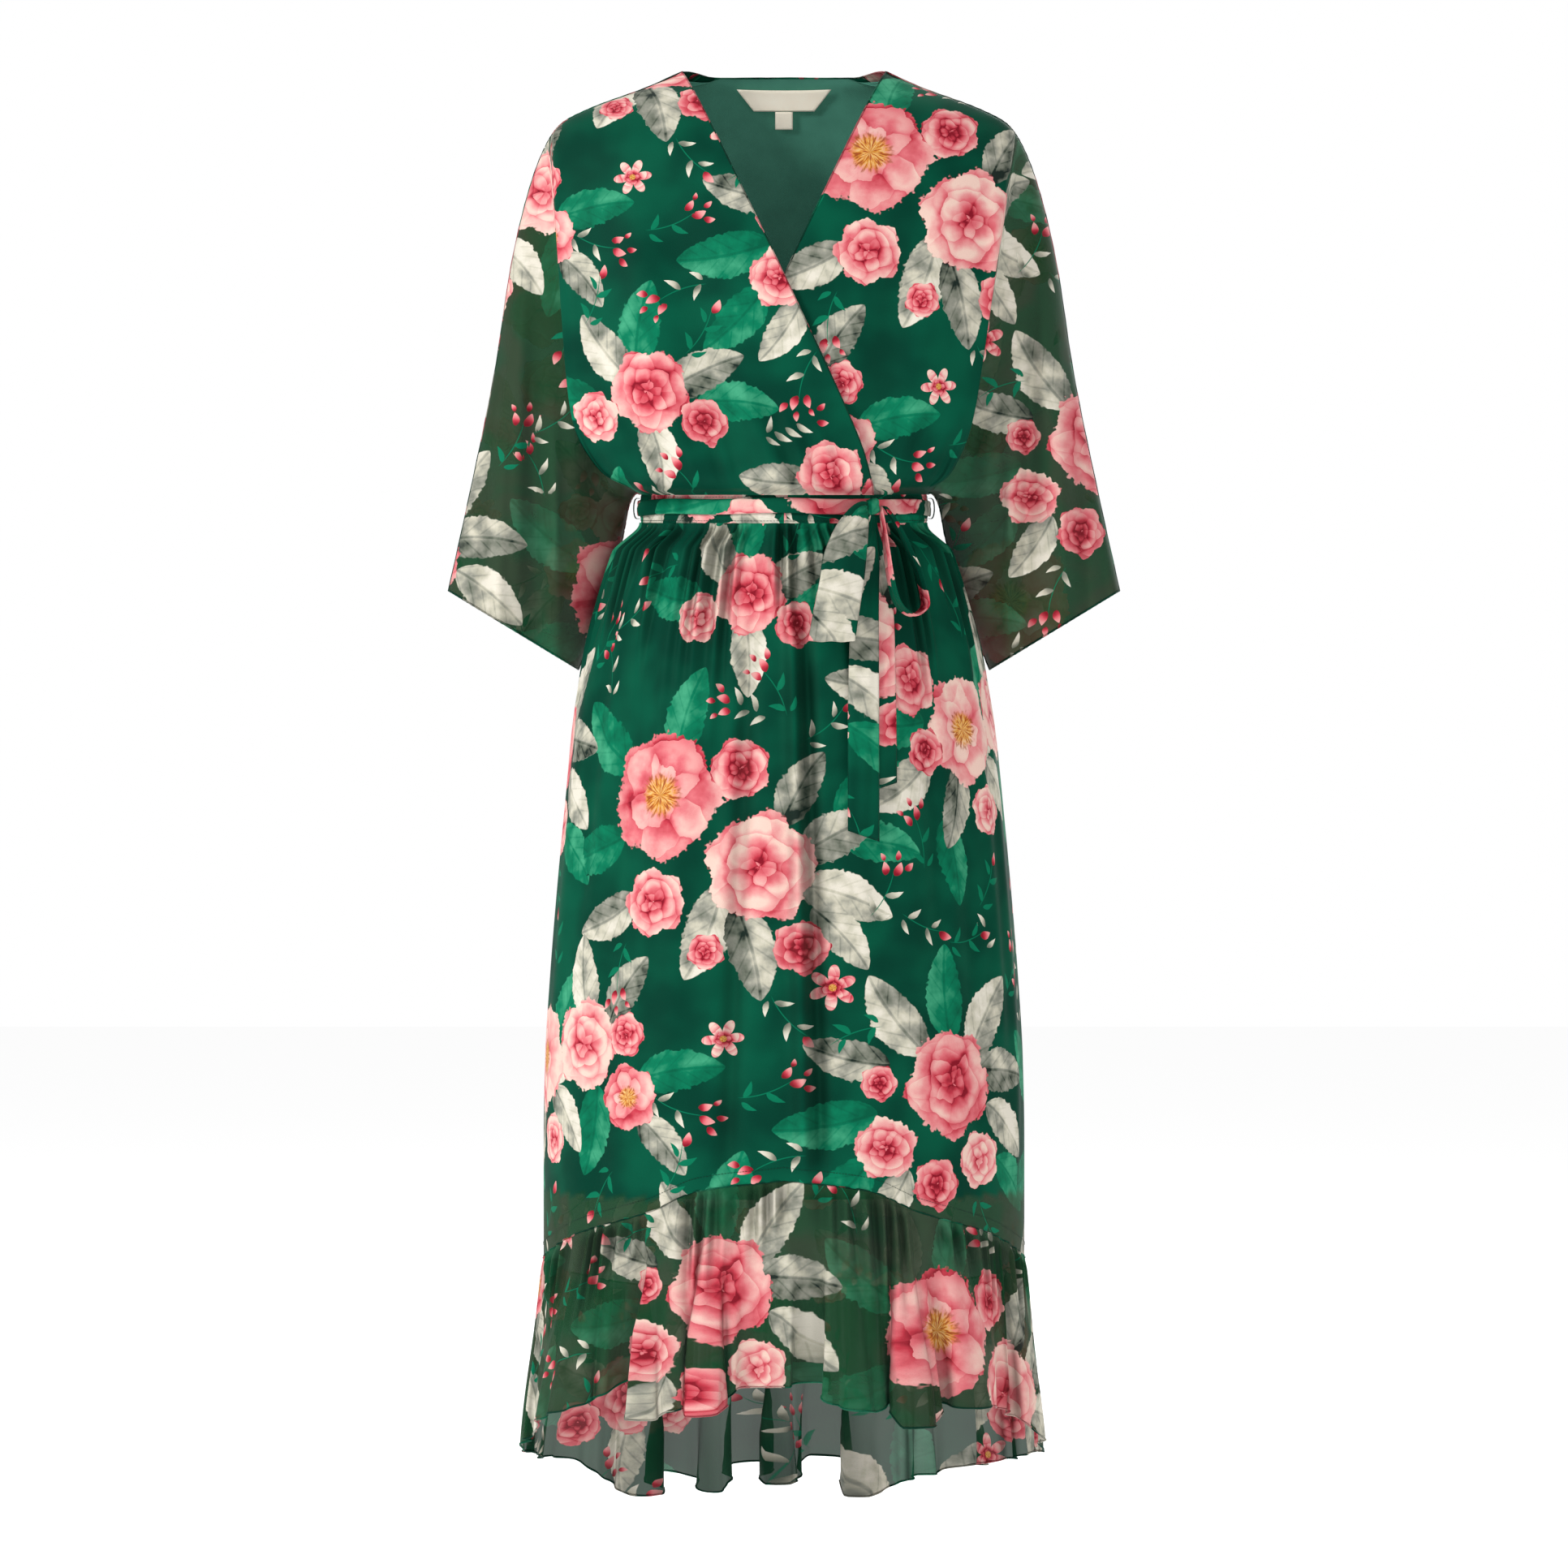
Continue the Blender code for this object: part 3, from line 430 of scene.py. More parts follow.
def petals(paint, around):
    """Cell noise on a cylinder: how near the cell's rim, its random value, its own height."""
    sockets = {"Vector": around, "Scale": 1.0, "Randomness": PETAL_RANDOMNESS}
    cells = paint.node("ShaderNodeTexVoronoi", {"voronoi_dimensions": "3D"}, sockets).socket.node
    distance, random, place = (Value(paint, cells.outputs[n]) for n in ("Distance", "Color", "Position"))
    return distance, paint.split(random)[0], paint.split(place)[2]


def bloom_colour(paint, spot, wash):
    """Petals in rings round a dark heart, or round open pollen on a peony and a daisy."""
    x, y, kind = paint.split(spot)
    seed = paint.math("FRACT", kind)
    radius = paint.math("SQRT", x * x + y * y)
    daisy = kind > DAISY - KIND_EDGE
    peony = (kind > PEONY - KIND_EDGE) * (1 - daisy)
    spread = PETALS_ROUND / (radius + 0.02)
    height = radius * (ROSE_RINGS - peony * (ROSE_RINGS - PEONY_RINGS)) + (wash - 0.5) * 0.5
    around = paint.vector(x * spread + seed * 9, y * spread + seed * 5, height)
    distance, random, middle = petals(paint, around)
    rim = paint.ease(-0.42, 0.46, height - middle)
    gap = paint.ease(0.50, 0.80, distance)
    heart = 1 - paint.ease(0.10, 0.62, radius)
    tone = 0.42 + rim * 0.36 + random * 0.22 + (wash - 0.5) * 0.5
    tone = tone + (seed - 0.5) * 0.44 - heart * (0.42 - peony * 0.30) - gap * 0.30
    tone = tone + daisy * (0.10 - 0.25 * (1 - paint.ease(0.2, 0.5, radius)))
    angle = paint.math("ARCTAN2", y, x)
    threads = paint.noise(paint.vector(angle * 4 + seed * 7, radius * 5), 1.6)
    open_heart = peony * (1 - paint.ease(0.20, 0.34, radius + (threads - 0.5) * 0.3))
    open_heart = paint.largest(open_heart, daisy * (1 - paint.ease(0.12, 0.17, radius)))
    return paint.mix(
        open_heart * 0.9, ramp(paint, tone, ROSE_STOPS), ramp(paint, threads, POLLEN_STOPS)
    )


def leaf_shade(paint, spot, wash):
    """0 in a vein or at the dark base to 1 on the light half of a leaf."""
    x, y, tone = paint.split(spot)
    bent = y + LEAF_BEND * x * x
    rib = 1 - paint.ease(0.012, 0.045, abs(bent))
    vein = abs(paint.math("FRACT", (x - abs(bent) * 1.2) * 2.7 + tone * 3) - 0.5)
    vein = (1 - paint.ease(0.02, 0.12, vein)) * paint.ease(0.03, 0.10, abs(bent))
    half = paint.ease(-0.14, 0.14, bent)
    base = 1 - paint.ease(-1.0, -0.1, x)
    shade = 0.42 + half * 0.30 + (wash - 0.5) * 1.2 + (tone - 0.5) * 0.66
    return shade - rib * 0.22 - vein * 0.12 - base * 0.24


def sprig_colour(paint, spot, wash):
    """Pink buds, cream or green leaflets and green stems."""
    x, y, kind = paint.split(spot)
    tip = paint.ease(-0.9, 0.9, x + (wash - 0.5) * 1.4)
    bud, cream = ramp(paint, tip, BUD_STOPS), ramp(paint, tip + y * 0.4, CREAM_STOPS)
    colour = paint.mix(kind > CREAM_LEAFLET - KIND_EDGE, bud, cream)
    green = paint.mix(y * 0.5 + 0.5, VINE, EMERALD)
    return paint.mix(kind > GREEN_LEAFLET - KIND_EDGE, colour, green)


print("inks from a petal's shadow to its rim:", len(ROSE_STOPS))


# %% [markdown]
# ## Chiffon, lined or sheer
# The print material puts the layers over each other, from the ground up. Where a panel has a lining
# the cloth looks solid; the sleeves and the ruffle have none, so a share of each point is let
# through. That share is Alpha, driven by an attribute of the mesh, `lined`. The crepe surface of the
# yarn is far finer than any mesh, so it is a Bump made of fine noise.

# %% The printed cloth
WASH_SCALE, CLOUD_SCALE, TORN_EDGE_SCALE, CREPE_SCALE = 55, 14, 190, 1500
CREPE_DEPTH, CREPE_MOTTLE, WEAVE_DEPTH = 0.00018, 0.35, 0.0002
SHEER_GAP, INKED_GAP = 0.12, 0.03
# How far the painted shade darkens bare sheer ground, and folds
SHEER_SHADE_SHARE, FOLD_SHADE = 0.62, 0.62
EMERALD_STOPS = [(0.0, EMERALD_DARK), (0.5, EMERALD), (1.0, EMERALD_LIGHT)]
PALE_STOPS = [(0.0, DARK_GREY), (0.20, GREY_LEAF), (0.44, MID_LEAF), (0.68, PALE_LEAF), (0.95, PALEST_LEAF)]


def printed_chiffon(name="printed_chiffon", light=1.0):
    """The printed cloth; light below 1 is for rolled edges, where several layers lie together."""
    paint = Paint(name)
    cut = paint.node("ShaderNodeUVMap", {"uv_map": "cut"})
    wash = paint.noise(cut, WASH_SCALE, 3.0)
    cloud = paint.noise(cut, CLOUD_SCALE)
    rough = paint.noise(cut, TORN_EDGE_SCALE, 1.0)
    grain = paint.noise(cut, CREPE_SCALE, 1.0)
    outline = {"leaf": leaf_outline, "bloom": bloom_outline, "sprig": sprig_outline}
    spots = {layer: paint.attribute(layer, 1) for layer in LAYERS}
    masks = {layer: outline[shape](paint, spots[layer], rough) for layer, shape in LAYERS.items()}

    def topmost(family):
        """Where a point lies in the upper motif that covers it, and whether one does."""
        high = masks[family + "_high"]
        spot = paint.choose(high > 0.5, spots[family + "_low"], spots[family + "_high"])
        return spot, paint.largest(masks[family + "_low"], high)

    colour = paint.mix(paint.ease(0.3, 0.75, cloud), GROUND_DARK, GROUND_LIGHT)
    spot, emerald = topmost("emerald")
    colour = paint.mix(emerald * 0.92, colour, ramp(paint, leaf_shade(paint, spot, wash), EMERALD_STOPS))
    spot, pale = topmost("pale")
    colour = paint.mix(pale, colour, ramp(paint, leaf_shade(paint, spot, wash), PALE_STOPS))
    spot, bloom = topmost("bloom")
    colour = paint.mix(bloom, colour, bloom_colour(paint, spot, wash))
    spot, sprig = topmost("sprig")
    colour = paint.mix(sprig, colour, sprig_colour(paint, spot, wash))
    colour = paint.mix((grain - 0.5) * CREPE_MOTTLE + (1 - light), colour, LAYERED_INK)

    motif = paint.largest(pale, bloom, sprig)
    lined = paint.attribute("lined", 2)
    # Painted shade: bare sheer ground is darkened towards green and olive shade inks, for the shaded layers
    # seen through it
    seen_through = paint.mix(paint.ease(0.42, 0.60, cloud), SHEER_SHADE, WARM_SHADE)
    colour = paint.mix((1 - lined) * (1 - motif) * SHEER_SHADE_SHARE, colour, seen_through)
    fold = paint.attribute("fold", 2)
    # Painted shade: folds and their steep walls are darkened towards a shade ink
    colour = paint.mix(fold * FOLD_SHADE, colour, PAINTED_FOLD_SHADE)
    gap = SHEER_GAP - motif * (SHEER_GAP - INKED_GAP)
    return paint.finish(
        Base_Color=colour,
        Alpha=1 - (1 - lined) * gap * (1 - fold * 0.7),
        Normal=paint.bump(grain, 0.5, CREPE_DEPTH),
        Roughness=0.56 + (grain - 0.5) * 0.2,
        Sheen_Weight=0.02,
        Sheen_Roughness=0.4,
        Specular_IOR_Level=0.04,
    )


def plain_cloth(name, light, dark, weave, roughness, glow=0.0):
    """Plain woven stuff in two tones, crossed by the fine rows of its weave; it shines evenly with painted
    light.
    """
    paint = Paint(name)
    cut = paint.node("ShaderNodeUVMap", {"uv_map": "cut"})
    x, y, _ = paint.split(cut)
    rows = paint.math("SINE", x * weave) * paint.math("SINE", y * weave)
    wash = paint.noise(cut, 40, 3.0)
    colour = paint.mix(0.5 + rows * 0.22 + (wash - 0.5) * 0.9, dark, light)
    return paint.finish(
        Base_Color=colour,
        # Painted light: the cloth shines evenly in its own colour
        Emission_Color=colour,
        Emission_Strength=glow,
        Normal=paint.bump(rows, 0.4, WEAVE_DEPTH),
        Roughness=roughness,
        Sheen_Weight=0.05,
        Specular_IOR_Level=0.1,
    )


CHIFFON = printed_chiffon()
HEM_CHIFFON = printed_chiffon("rolled_chiffon", 0.45)
# The lining and the label shine a little: painted light that keeps them bright in the shade inside the dress
LINING = plain_cloth("green_lining", ink("4A8A76"), ink("3C7362"), 4200, 0.7, glow=0.13)
RIBBON = plain_cloth("label_ribbon", ink("F6EFDF"), ink("E8DFCB"), 9000, 0.45, glow=0.20)
THREAD = plain_cloth("green_thread", ink("073B2C"), ink("042018"), 14000, 0.6)
print("nodes in the print:", len(CHIFFON.node_tree.nodes))

# %% [markdown]
# ## Where the motifs lie
# A textile printer repeats one block. Ours is a bit under half a metre wide, and each column of
# blocks is dropped by half a block, so that the bouquets don't stand in rows. Bouquets are written
# as short lists: what, where, how large and which way it points, in millimetres. Sprigs are grown
# by a rule: a stem with a leaflet to the left and right in turn, and buds at its end.

# %% One block of the print
BLOCK_WIDTH, BLOCK_HEIGHT = 0.470, 0.600
# each family's motifs: a bloom's kind or a leaf's tone, x, y, half size, turn in degrees
BOUQUETS = [
    # the great bouquet: an open peony and a pale rose, with smaller roses below them
    {
        "bloom": [(PEONY + 0.32, 98, 462, 64, 20), (ROSE + 0.85, 192, 398, 55, 0),
                  (ROSE + 0.20, 172, 486, 31, 50), (ROSE + 0.05, 226, 326, 27, 0),
                  (ROSE + 0.60, 96, 366, 34, 80), (ROSE + 0.33, 146, 322, 18, 80)],
        "pale": [(0.72, 148, 338, 46, -110), (0.30, 186, 322, 44, -75), (0.80, 266, 372, 44, -20),
                 (0.35, 258, 428, 42, 28), (0.62, 262, 336, 36, -50), (0.25, 226, 470, 38, 60),
                 (0.55, 44, 350, 40, 205)],
        "emerald": [(0.5, 22, 512, 48, 140), (0.3, 16, 410, 44, 195), (0.6, 120, 538, 42, 75),
                    (0.4, 292, 470, 44, 30), (0.7, 300, 420, 38, -10)],
    },
    # the second bouquet: one round rose among small ones
    {
        "bloom": [(ROSE + 0.45, 362, 202, 54, 10), (ROSE + 0.66, 296, 146, 31, 0),
                  (ROSE + 0.12, 344, 112, 26, 0), (ROSE + 0.92, 396, 132, 29, 30),
                  (ROSE + 0.08, 290, 204, 18, 0)],
        "pale": [(0.66, 408, 262, 46, 55), (0.28, 432, 212, 42, -5), (0.78, 440, 160, 40, -40),
                 (0.60, 304, 262, 44, 125), (0.32, 262, 226, 38, 165), (0.74, 300, 96, 34, 235)],
        "emerald": [(0.45, 246, 166, 44, 190), (0.55, 356, 284, 44, 90), (0.35, 258, 106, 40, 225),
                    (0.65, 452, 110, 40, -40)],
    },
    # a half-open rose with a bud, between the others
    {
        "bloom": [(ROSE + 0.98, 20, 236, 46, 0), (PEONY + 0.55, 76, 190, 33, 0),
                  (ROSE + 0.40, 72, 246, 22, 40), (DAISY + 0.30, 252, 290, 22, 0),
                  (DAISY + 0.70, 162, 244, 19, 30)],
        "pale": [(0.70, 14, 296, 40, 100), (0.22, 68, 288, 38, 55), (0.76, -34, 210, 40, 205),
                 (0.40, 112, 150, 34, -50)],
        "emerald": [(0.50, 34, 158, 42, -100), (0.40, 124, 216, 40, 10)],
    },
    # the third bouquet: a darker peony
    {
        "bloom": [(PEONY + 0.81, 408, 522, 55, -30), (ROSE + 0.50, 340, 566, 36, 0),
                  (ROSE + 0.15, 352, 502, 24, 0), (ROSE + 0.88, 436, 448, 26, 0)],
        "pale": [(0.68, 326, 470, 42, 215), (0.30, 388, 450, 40, -110), (0.74, 466, 470, 38, -50),
                 (0.45, 288, 560, 38, 175)],
        "emerald": [(0.40, 312, 524, 42, 180), (0.60, 462, 574, 42, 60), (0.35, 380, 402, 40, -80)],
    },
    # low in the block: leaves with one rose
    {
        "bloom": [(ROSE + 0.30, 176, 44, 42, 0), (ROSE + 0.10, 224, 16, 24, 0),
                  (ROSE + 0.75, 122, 22, 26, 0)],
        "pale": [(0.62, 132, 82, 40, 130), (0.34, 226, 62, 40, 25), (0.72, 178, -12, 38, -85)],
        "emerald": [(0.50, 168, 104, 42, 80), (0.30, 86, 40, 42, 170), (0.62, 258, 34, 38, -5)],
    },
]
# x, y, turn in degrees, leaflets, and 1 where the leaflets are cream or 0 where they are green
SPRIGS = [
    (60, 306, -100, 7, 0), (214, 262, -50, 6, 1), (300, 372, 60, 7, 1), (14, 574, 110, 7, 1),
    (318, 58, -110, 7, 1), (404, 76, -60, 6, 0), (462, 300, 60, 7, 0), (124, 180, -20, 7, 1),
    (44, 104, -120, 6, 0), (124, 128, 70, 6, 0), (198, 196, 20, 7, 0), (206, 136, 200, 7, 1),
    (226, 96, 60, 6, 0), (300, 10, 20, 7, 1), (430, 30, 100, 6, 0), (340, 420, 100, 7, 0),
    (336, 344, -20, 6, 1), (426, 380, 60, 6, 0), (206, 556, 120, 7, 0), (252, 524, 40, 6, 1),
    (180, 540, 160, 5, 1), (28, 20, 30, 6, 1), (390, 330, 10, 6, 0), (270, 250, -160, 6, 0),
    (64, 66, 200, 6, 0), (420, 346, 80, 6, 1),
]
STEM_HALF, STEM_START, STEM_RUN = 24, -18, 40
LEAFLET_HALF, LEAFLET_OFF, LEAFLET_TURN, BUD_HALF = 7.5, 7.5, 48, 7.0
# how far along the stem and beside it each bud hangs: two on an even sprig, five on an odd one
BUD_PLACES = [(27, 0), (22, 11), (34, -8), (38, 6), (30, 18)]


def grow_sprig(x, y, turn, leaflets, cream):
    """A stem with leaflets on alternate sides and buds at its end, as rows of the block."""
    rows = [("sprig", STEM, x, y, STEM_HALF, turn)]
    way = np.array([math.cos(math.radians(turn)), math.sin(math.radians(turn))])
    side = np.array([-way[1], way[0]])
    kind = CREAM_LEAFLET if cream else GREEN_LEAFLET
    for i in range(leaflets):
        step = STEM_START + STEM_RUN * i / leaflets
        lean = 1 if i % 2 else -1
        place = np.array([x, y]) + way * step + side * lean * LEAFLET_OFF
        half = LEAFLET_HALF + (i * 37 % 5) * 0.5
        rows.append(("sprig", kind, *place, half, turn + lean * LEAFLET_TURN))
    for i, (far, off) in enumerate(BUD_PLACES[: 2 + 3 * (leaflets % 2)]):
        place = np.array([x, y]) + way * far + side * off
        rows.append(("sprig", BUD, *place, BUD_HALF - i * 0.8, turn + off * 3))
    return rows


block = [(family, *row) for bouquet in BOUQUETS for family, rows in bouquet.items() for row in rows]
block += [row for sprig in SPRIGS for row in grow_sprig(*sprig)]
print("motifs in one block:", len(block))

# %% [markdown]
# Two leaves that overlap can't share a layer of the print, so each family of motifs has a low and a
# high layer, and a motif goes into the one where it has room. Then every face of a panel asks, layer
# by layer, which motif lies nearest, and writes where its corners lie in that motif's square.

# %% Print a panel
SLENDER = {"leaf": 0.53, "bloom": 1.0, "sprig": 0.62}
MARGIN = 0.006
ROOM_ROUND_MOTIF = 0.004


def in_motif(u, v, x, y, size, turn):
    """Where (u, v) lies in a motif's own square."""
    c, s = math.cos(turn), math.sin(turn)
    return ((u - x) * c + (v - y) * s) / size, ((v - y) * c - (u - x) * s) / size


def overlap(one, two, slender):
    """Whether points on one motif's oval, or halfway in, lie in the other's oval."""
    (x1, y1, size1, turn1), (x2, y2, size2, turn2) = one, two
    if math.hypot(x1 - x2, y1 - y2) > size1 + size2:
        return False
    turns = np.linspace(0, 2 * math.pi, 24)
    for far in (0.5, 1.0):
        x, y = far * size1 * np.cos(turns), far * size1 * slender * np.sin(turns)
        u = x1 + x * math.cos(turn1) - y * math.sin(turn1)
        v = y1 + x * math.sin(turn1) + y * math.cos(turn1)
        p, q = in_motif(u, v, x2, y2, size2 + ROOM_ROUND_MOTIF, turn2)
        if np.any(np.hypot(p, q / slender) < 1):
            return True
    return False


def share_layers(rows):
    """Each layer's motifs, in metres and radians."""
    layers = {name: [] for name in LAYERS}
    left_out = 0
    for family, kind, x, y, size, turn in rows:
        motif = (x / 1000, y / 1000, size / 1000, math.radians(turn))
        for level in ("_low", "_high"):
            others = layers[family + level]
            if not any(overlap(motif, other[1:], SLENDER[SHAPES[family]]) for other in others):
                others.append((kind, *motif))
                break
        else:
            left_out += 1
    print("motifs with no room:", left_out)
    return layers


BLOCK = share_layers(block)


def repeats(motifs, u, v):
    """The motifs of one layer, repeated with a half drop over the panel's cut."""
    for column in range(math.floor(u.min() / BLOCK_WIDTH) - 1, math.ceil(u.max() / BLOCK_WIDTH) + 1):
        drop = BLOCK_HEIGHT / 2 * (column % 2)
        first = math.floor((v.min() - drop) / BLOCK_HEIGHT) - 1
        for row in range(first, math.ceil((v.max() - drop) / BLOCK_HEIGHT) + 1):
            for kind, x, y, size, turn in motifs:
                yield kind, x + column * BLOCK_WIDTH, y + row * BLOCK_HEIGHT + drop, size, turn


def print_panel(mesh, cut, faces):
    """Write the layers' attributes: cut holds (u, v) for each point, faces the points of each face."""
    corners = cut[faces]
    u, v = corners.mean(axis=1).T
    for name, shape in LAYERS.items():
        best = np.full(len(faces), MARGIN)
        spots = np.full((*faces.shape, 3), NO_MOTIF)
        for kind, x, y, size, turn in repeats(BLOCK[name], u, v):
            near = np.flatnonzero(np.hypot(u - x, v - y) < size + MARGIN)
            if not len(near):
                continue
            p, q = in_motif(u[near], v[near], x, y, size, turn)
            outside = (np.hypot(p, q / SLENDER[shape]) - 1) * size
            won = near[outside < best[near]]
            best[won] = outside[outside < best[near]]
            p, q = in_motif(corners[won, :, 0], corners[won, :, 1], x, y, size, turn)
            spots[won] = np.stack([p, q, np.full_like(p, kind)], axis=-1)
        layer = mesh.attributes.new(name, "FLOAT_VECTOR", "CORNER")
        layer.data.foreach_set("vector", spots.astype(np.float32).ravel())


def point_value(mesh, name, values):
    mesh.attributes.new(name, "FLOAT", "POINT").data.foreach_set("value", values.astype(np.float32))


print({name: len(motifs) for name, motifs in BLOCK.items()})

# %% [markdown]
# ## From a rule to a panel of cloth
# Every panel is a function: `across` runs 0 to 1 from side to side and `down` from its top to its
# bottom, and the function answers with a point in space. A grid of such points is the cloth. It is
# made a mesh, printed, and put on the dress in the place of its solid.

# %% A grid becomes a piece
BODY = "root"
FINISHED = ("_cloth", "_ribbon", "_thread")
# Where on the printed roll each piece is cut: across it and along it, in metres
PRINT_AT = {
    "front_right_cloth": (0.3, 0.405),
    "front_left_cloth": (0.02, 0.6),
    "back_cloth": (0.33, 0.41),
    "waist_casing_cloth": (0.1, 0.2),
    "skirt_front_cloth": (0.212, 1.13),
    "skirt_back_cloth": (0.12, 0.8),
    "ruffle_front_cloth": (0.42, 1.31),
    "ruffle_back_cloth": (0.48, 1.58),
    "belt_band_cloth": (0.13, 0.475),
    "belt_knot_cloth": (0.34, 0.3),
    "belt_tail_long_cloth": (0.42, 0.33),
    "belt_tail_short_cloth": (0.2, 0.52),
    "bow_loop_wide_cloth": (0.245, 0.48),
    "bow_loop_narrow_cloth": (0.33, 0.24),
}
made = {}
laid = {}


def grid(columns, rows):
    """The places across and down, 0 to 1, of each point of a grid."""
    down, across = np.meshgrid(np.linspace(0, 1, rows + 1), np.linspace(0, 1, columns + 1), indexing="ij")
    return across.ravel(), down.ravel()


def grid_faces(columns, rows, flip):
    """The four points of each face of a grid; flip turns the faces round."""
    start = (np.arange(rows)[:, None] * (columns + 1) + np.arange(columns)).ravel()
    order = [0, 1, columns + 2, columns + 1]
    if flip:
        order.reverse()
    return start[:, None] + np.array(order)


def keep(name, mesh):
    """Put a piece on the dress; one whose name ends in its stuff takes the place of its solid."""
    piece = bpy.data.objects.new(name, mesh)
    bpy.context.scene.collection.objects.link(piece)
    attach(piece, BODY)
    if name.endswith(FINISHED):
        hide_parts(name.rsplit("_", 1)[0])
    made[name] = piece
    return piece


def new_piece(name, points, faces, paint, cut, lined=1.0):
    """A piece of cloth: its faces, its finish, its cut as a UV map and, on chiffon, its print."""
    mesh = bpy.data.meshes.new(name)
    mesh.from_pydata(points.tolist(), [], faces.tolist())
    mesh.materials.append(paint)
    mesh.shade_smooth()
    layer = mesh.uv_layers.new(name="cut")
    layer.uv.foreach_set("vector", cut[faces].astype(np.float32).ravel())
    if paint in (CHIFFON, HEM_CHIFFON):
        print_panel(mesh, cut, faces)
        point_value(mesh, "lined", np.ones(len(points)) * lined)
    return keep(name, mesh)


print("pieces cut from the printed roll:", len(PRINT_AT))

# %% [markdown]
# The cut, where each point lay before sewing, follows the same grid: sideways it is the length walked
# along the row, and down it is the height, stretched where the cloth lies over a shoulder. Light
# hardly reaches into a fold, so `fold_shade` finds folds by comparing a panel with a calmed copy, and
# that shade is then painted into the cloth's colour.


# %% Lay a panel
def walk(points, columns, start):
    """The level distance walked along each row of a grid, from start at its first column."""
    rows = points.reshape(-1, columns + 1, 3)
    steps = np.hypot(np.diff(rows[..., 0]), np.diff(rows[..., 1]))
    length = np.concatenate([np.zeros((len(rows), 1)), np.cumsum(steps, axis=1)], axis=1)
    return (length + np.asarray(start).reshape(-1, 1)).ravel()


def cut_facts(cut, faces):
    """Width, length and area of the flat cut, in metres."""
    low, high = cut.min(axis=0), cut.max(axis=0)
    a, b, c, d = (cut[faces[:, i]] for i in range(4))
    area = np.abs(np.cross(c - a, d - b)).sum() / 2
    return (float(high[0] - low[0]), float(high[1] - low[1])), float(area)


def average(values, reach):
    """Each row's running mean over `reach` points to either side."""
    padded = np.pad(values, ((0, 0), (reach, reach), (0, 0)), mode="edge")
    total = np.cumsum(np.pad(padded, ((0, 0), (1, 0), (0, 0))), axis=1)
    window = 2 * reach + 1
    return (total[:, window:] - total[:, :-window]) / window


def normals(lines):
    across, down = np.gradient(lines, axis=1), np.gradient(lines, axis=0)
    normal = np.cross(across, down)
    return normal / (np.linalg.norm(normal, axis=2)[..., None] + 1e-12)


SHORT_REACH, LONG_REACH = 5, 20
DEEP_FOLD, DEEP_SHADE, STEEP_SHADE, STEEPNESS = 0.005, 0.55, 0.9, 2.2


def fold_shade(lines, reach):
    """How much painted shade a point gets: 0 on open cloth to 1 deep in a fold or on its steep wall."""
    calm = average(average(lines, reach), reach)
    calm_normal = normals(calm)
    facing = np.sign((calm_normal * (calm * [1, 1, 0])).sum(axis=2))
    height = ((lines - calm) * calm_normal).sum(axis=2) * facing
    steep = 1 - np.abs((normals(lines) * calm_normal).sum(axis=2))
    deep = DEEP_SHADE * np.clip(-height / DEEP_FOLD, 0, 1)
    return np.clip(deep + STEEP_SHADE * np.clip(steep * STEEPNESS, 0, 1), 0, 1)


def lay(name, columns, rows, surface, cut_of, flip, paint=CHIFFON, lined=1.0, wide=0.0):
    """A panel: surface(across, down) gives its points, and cut_of its place in the cloth.

    lined is a share or says one for each point; wide is how strongly wide folds are shaded."""
    across, down = grid(columns, rows)
    points = surface(across, down)
    faces = grid_faces(columns, rows, flip)
    cut = np.column_stack(cut_of(points, across, down))
    share = lined(points, across) if callable(lined) else lined
    piece = new_piece(name, points, faces, paint, cut, share)
    lines = points.reshape(rows + 1, columns + 1, 3)
    if paint is CHIFFON:
        shade = np.maximum(fold_shade(lines, SHORT_REACH), wide * fold_shade(lines, LONG_REACH))
        # The folds' painted shade, kept on the mesh: the print darkens its colour by it and lets less
        # through there
        point_value(piece.data, "fold", shade.ravel())
    laid[name] = lines, cut.reshape(rows + 1, columns + 1, 2)
    size, area = cut_facts(cut, faces)
    piece["cut"] = [*size, area]
    print(name, "faces", len(faces), "cut", [round(s, 3) for s in size], "area", round(area, 3))
    return piece


print("pieces so far:", len(made))


# %% [markdown]
# ## The bodice
# A kimono bodice has no armholes: front and sleeve are one piece, cut like half a letter T, and the
# cloth that is left over under the arm falls into a deep fold at the side. So the rows of the grid
# fan out from the overarm seam to the waist and the underarm seam, and at the fold the surface
# turns back on itself: body, crest, root, sleeve. The tables are the pattern's measures.

# %% Measures of the bodice
BACK_NECK_RISE = 0.0056
WAIST_HALF, WAIST_FRONT, WAIST_BACK = 0.130, 0.105, 0.095
WAIST_Z, WAIST_TILT = -0.3902, 0.060
CASING_HEIGHT, CASING_WALL = 0.026, 0.0032
WRAP_END, WRAP_LIFT = 0.081, 0.0058
OVERARM_SWEEP = 0.012
CLOTH_OUT = 0.0008
OVERARM = in_metres(
    x=(94.5, 124.5, 184.5, 207, 222, 237, 252, 267, 292.5, 310.5),
    z=(0, -13.5, -36, -48.8, -72, -114, -178.5, -274.5, -398, -478.5),
)
UNDERARM = in_metres(
    x=(130, 135.5, 143, 150.5, 173, 192),
    y=(0, 3, 12, 30, 42, 45),
    z=(-387.8, -388, -397, -429, -503, -550.5),
)
TORSO = in_metres(
    z=(-396, -390, -376, -350, -300, -250, -150, -100, -72, -49, -36, -13.5, 0, 6),
    half=(131, 160, 205, 232, 240, 242, 242, 234, 224, 207, 184.5, 124.5, 95, 95),
    front=(106, 114, 119, 121, 122, 121, 112, 98, 88, 75, 66, 46, 34, 30),
    back=(97, 101, 104, 106, 109, 113, 113, 106, 101, 97, 93, 84, 77, 75),
)
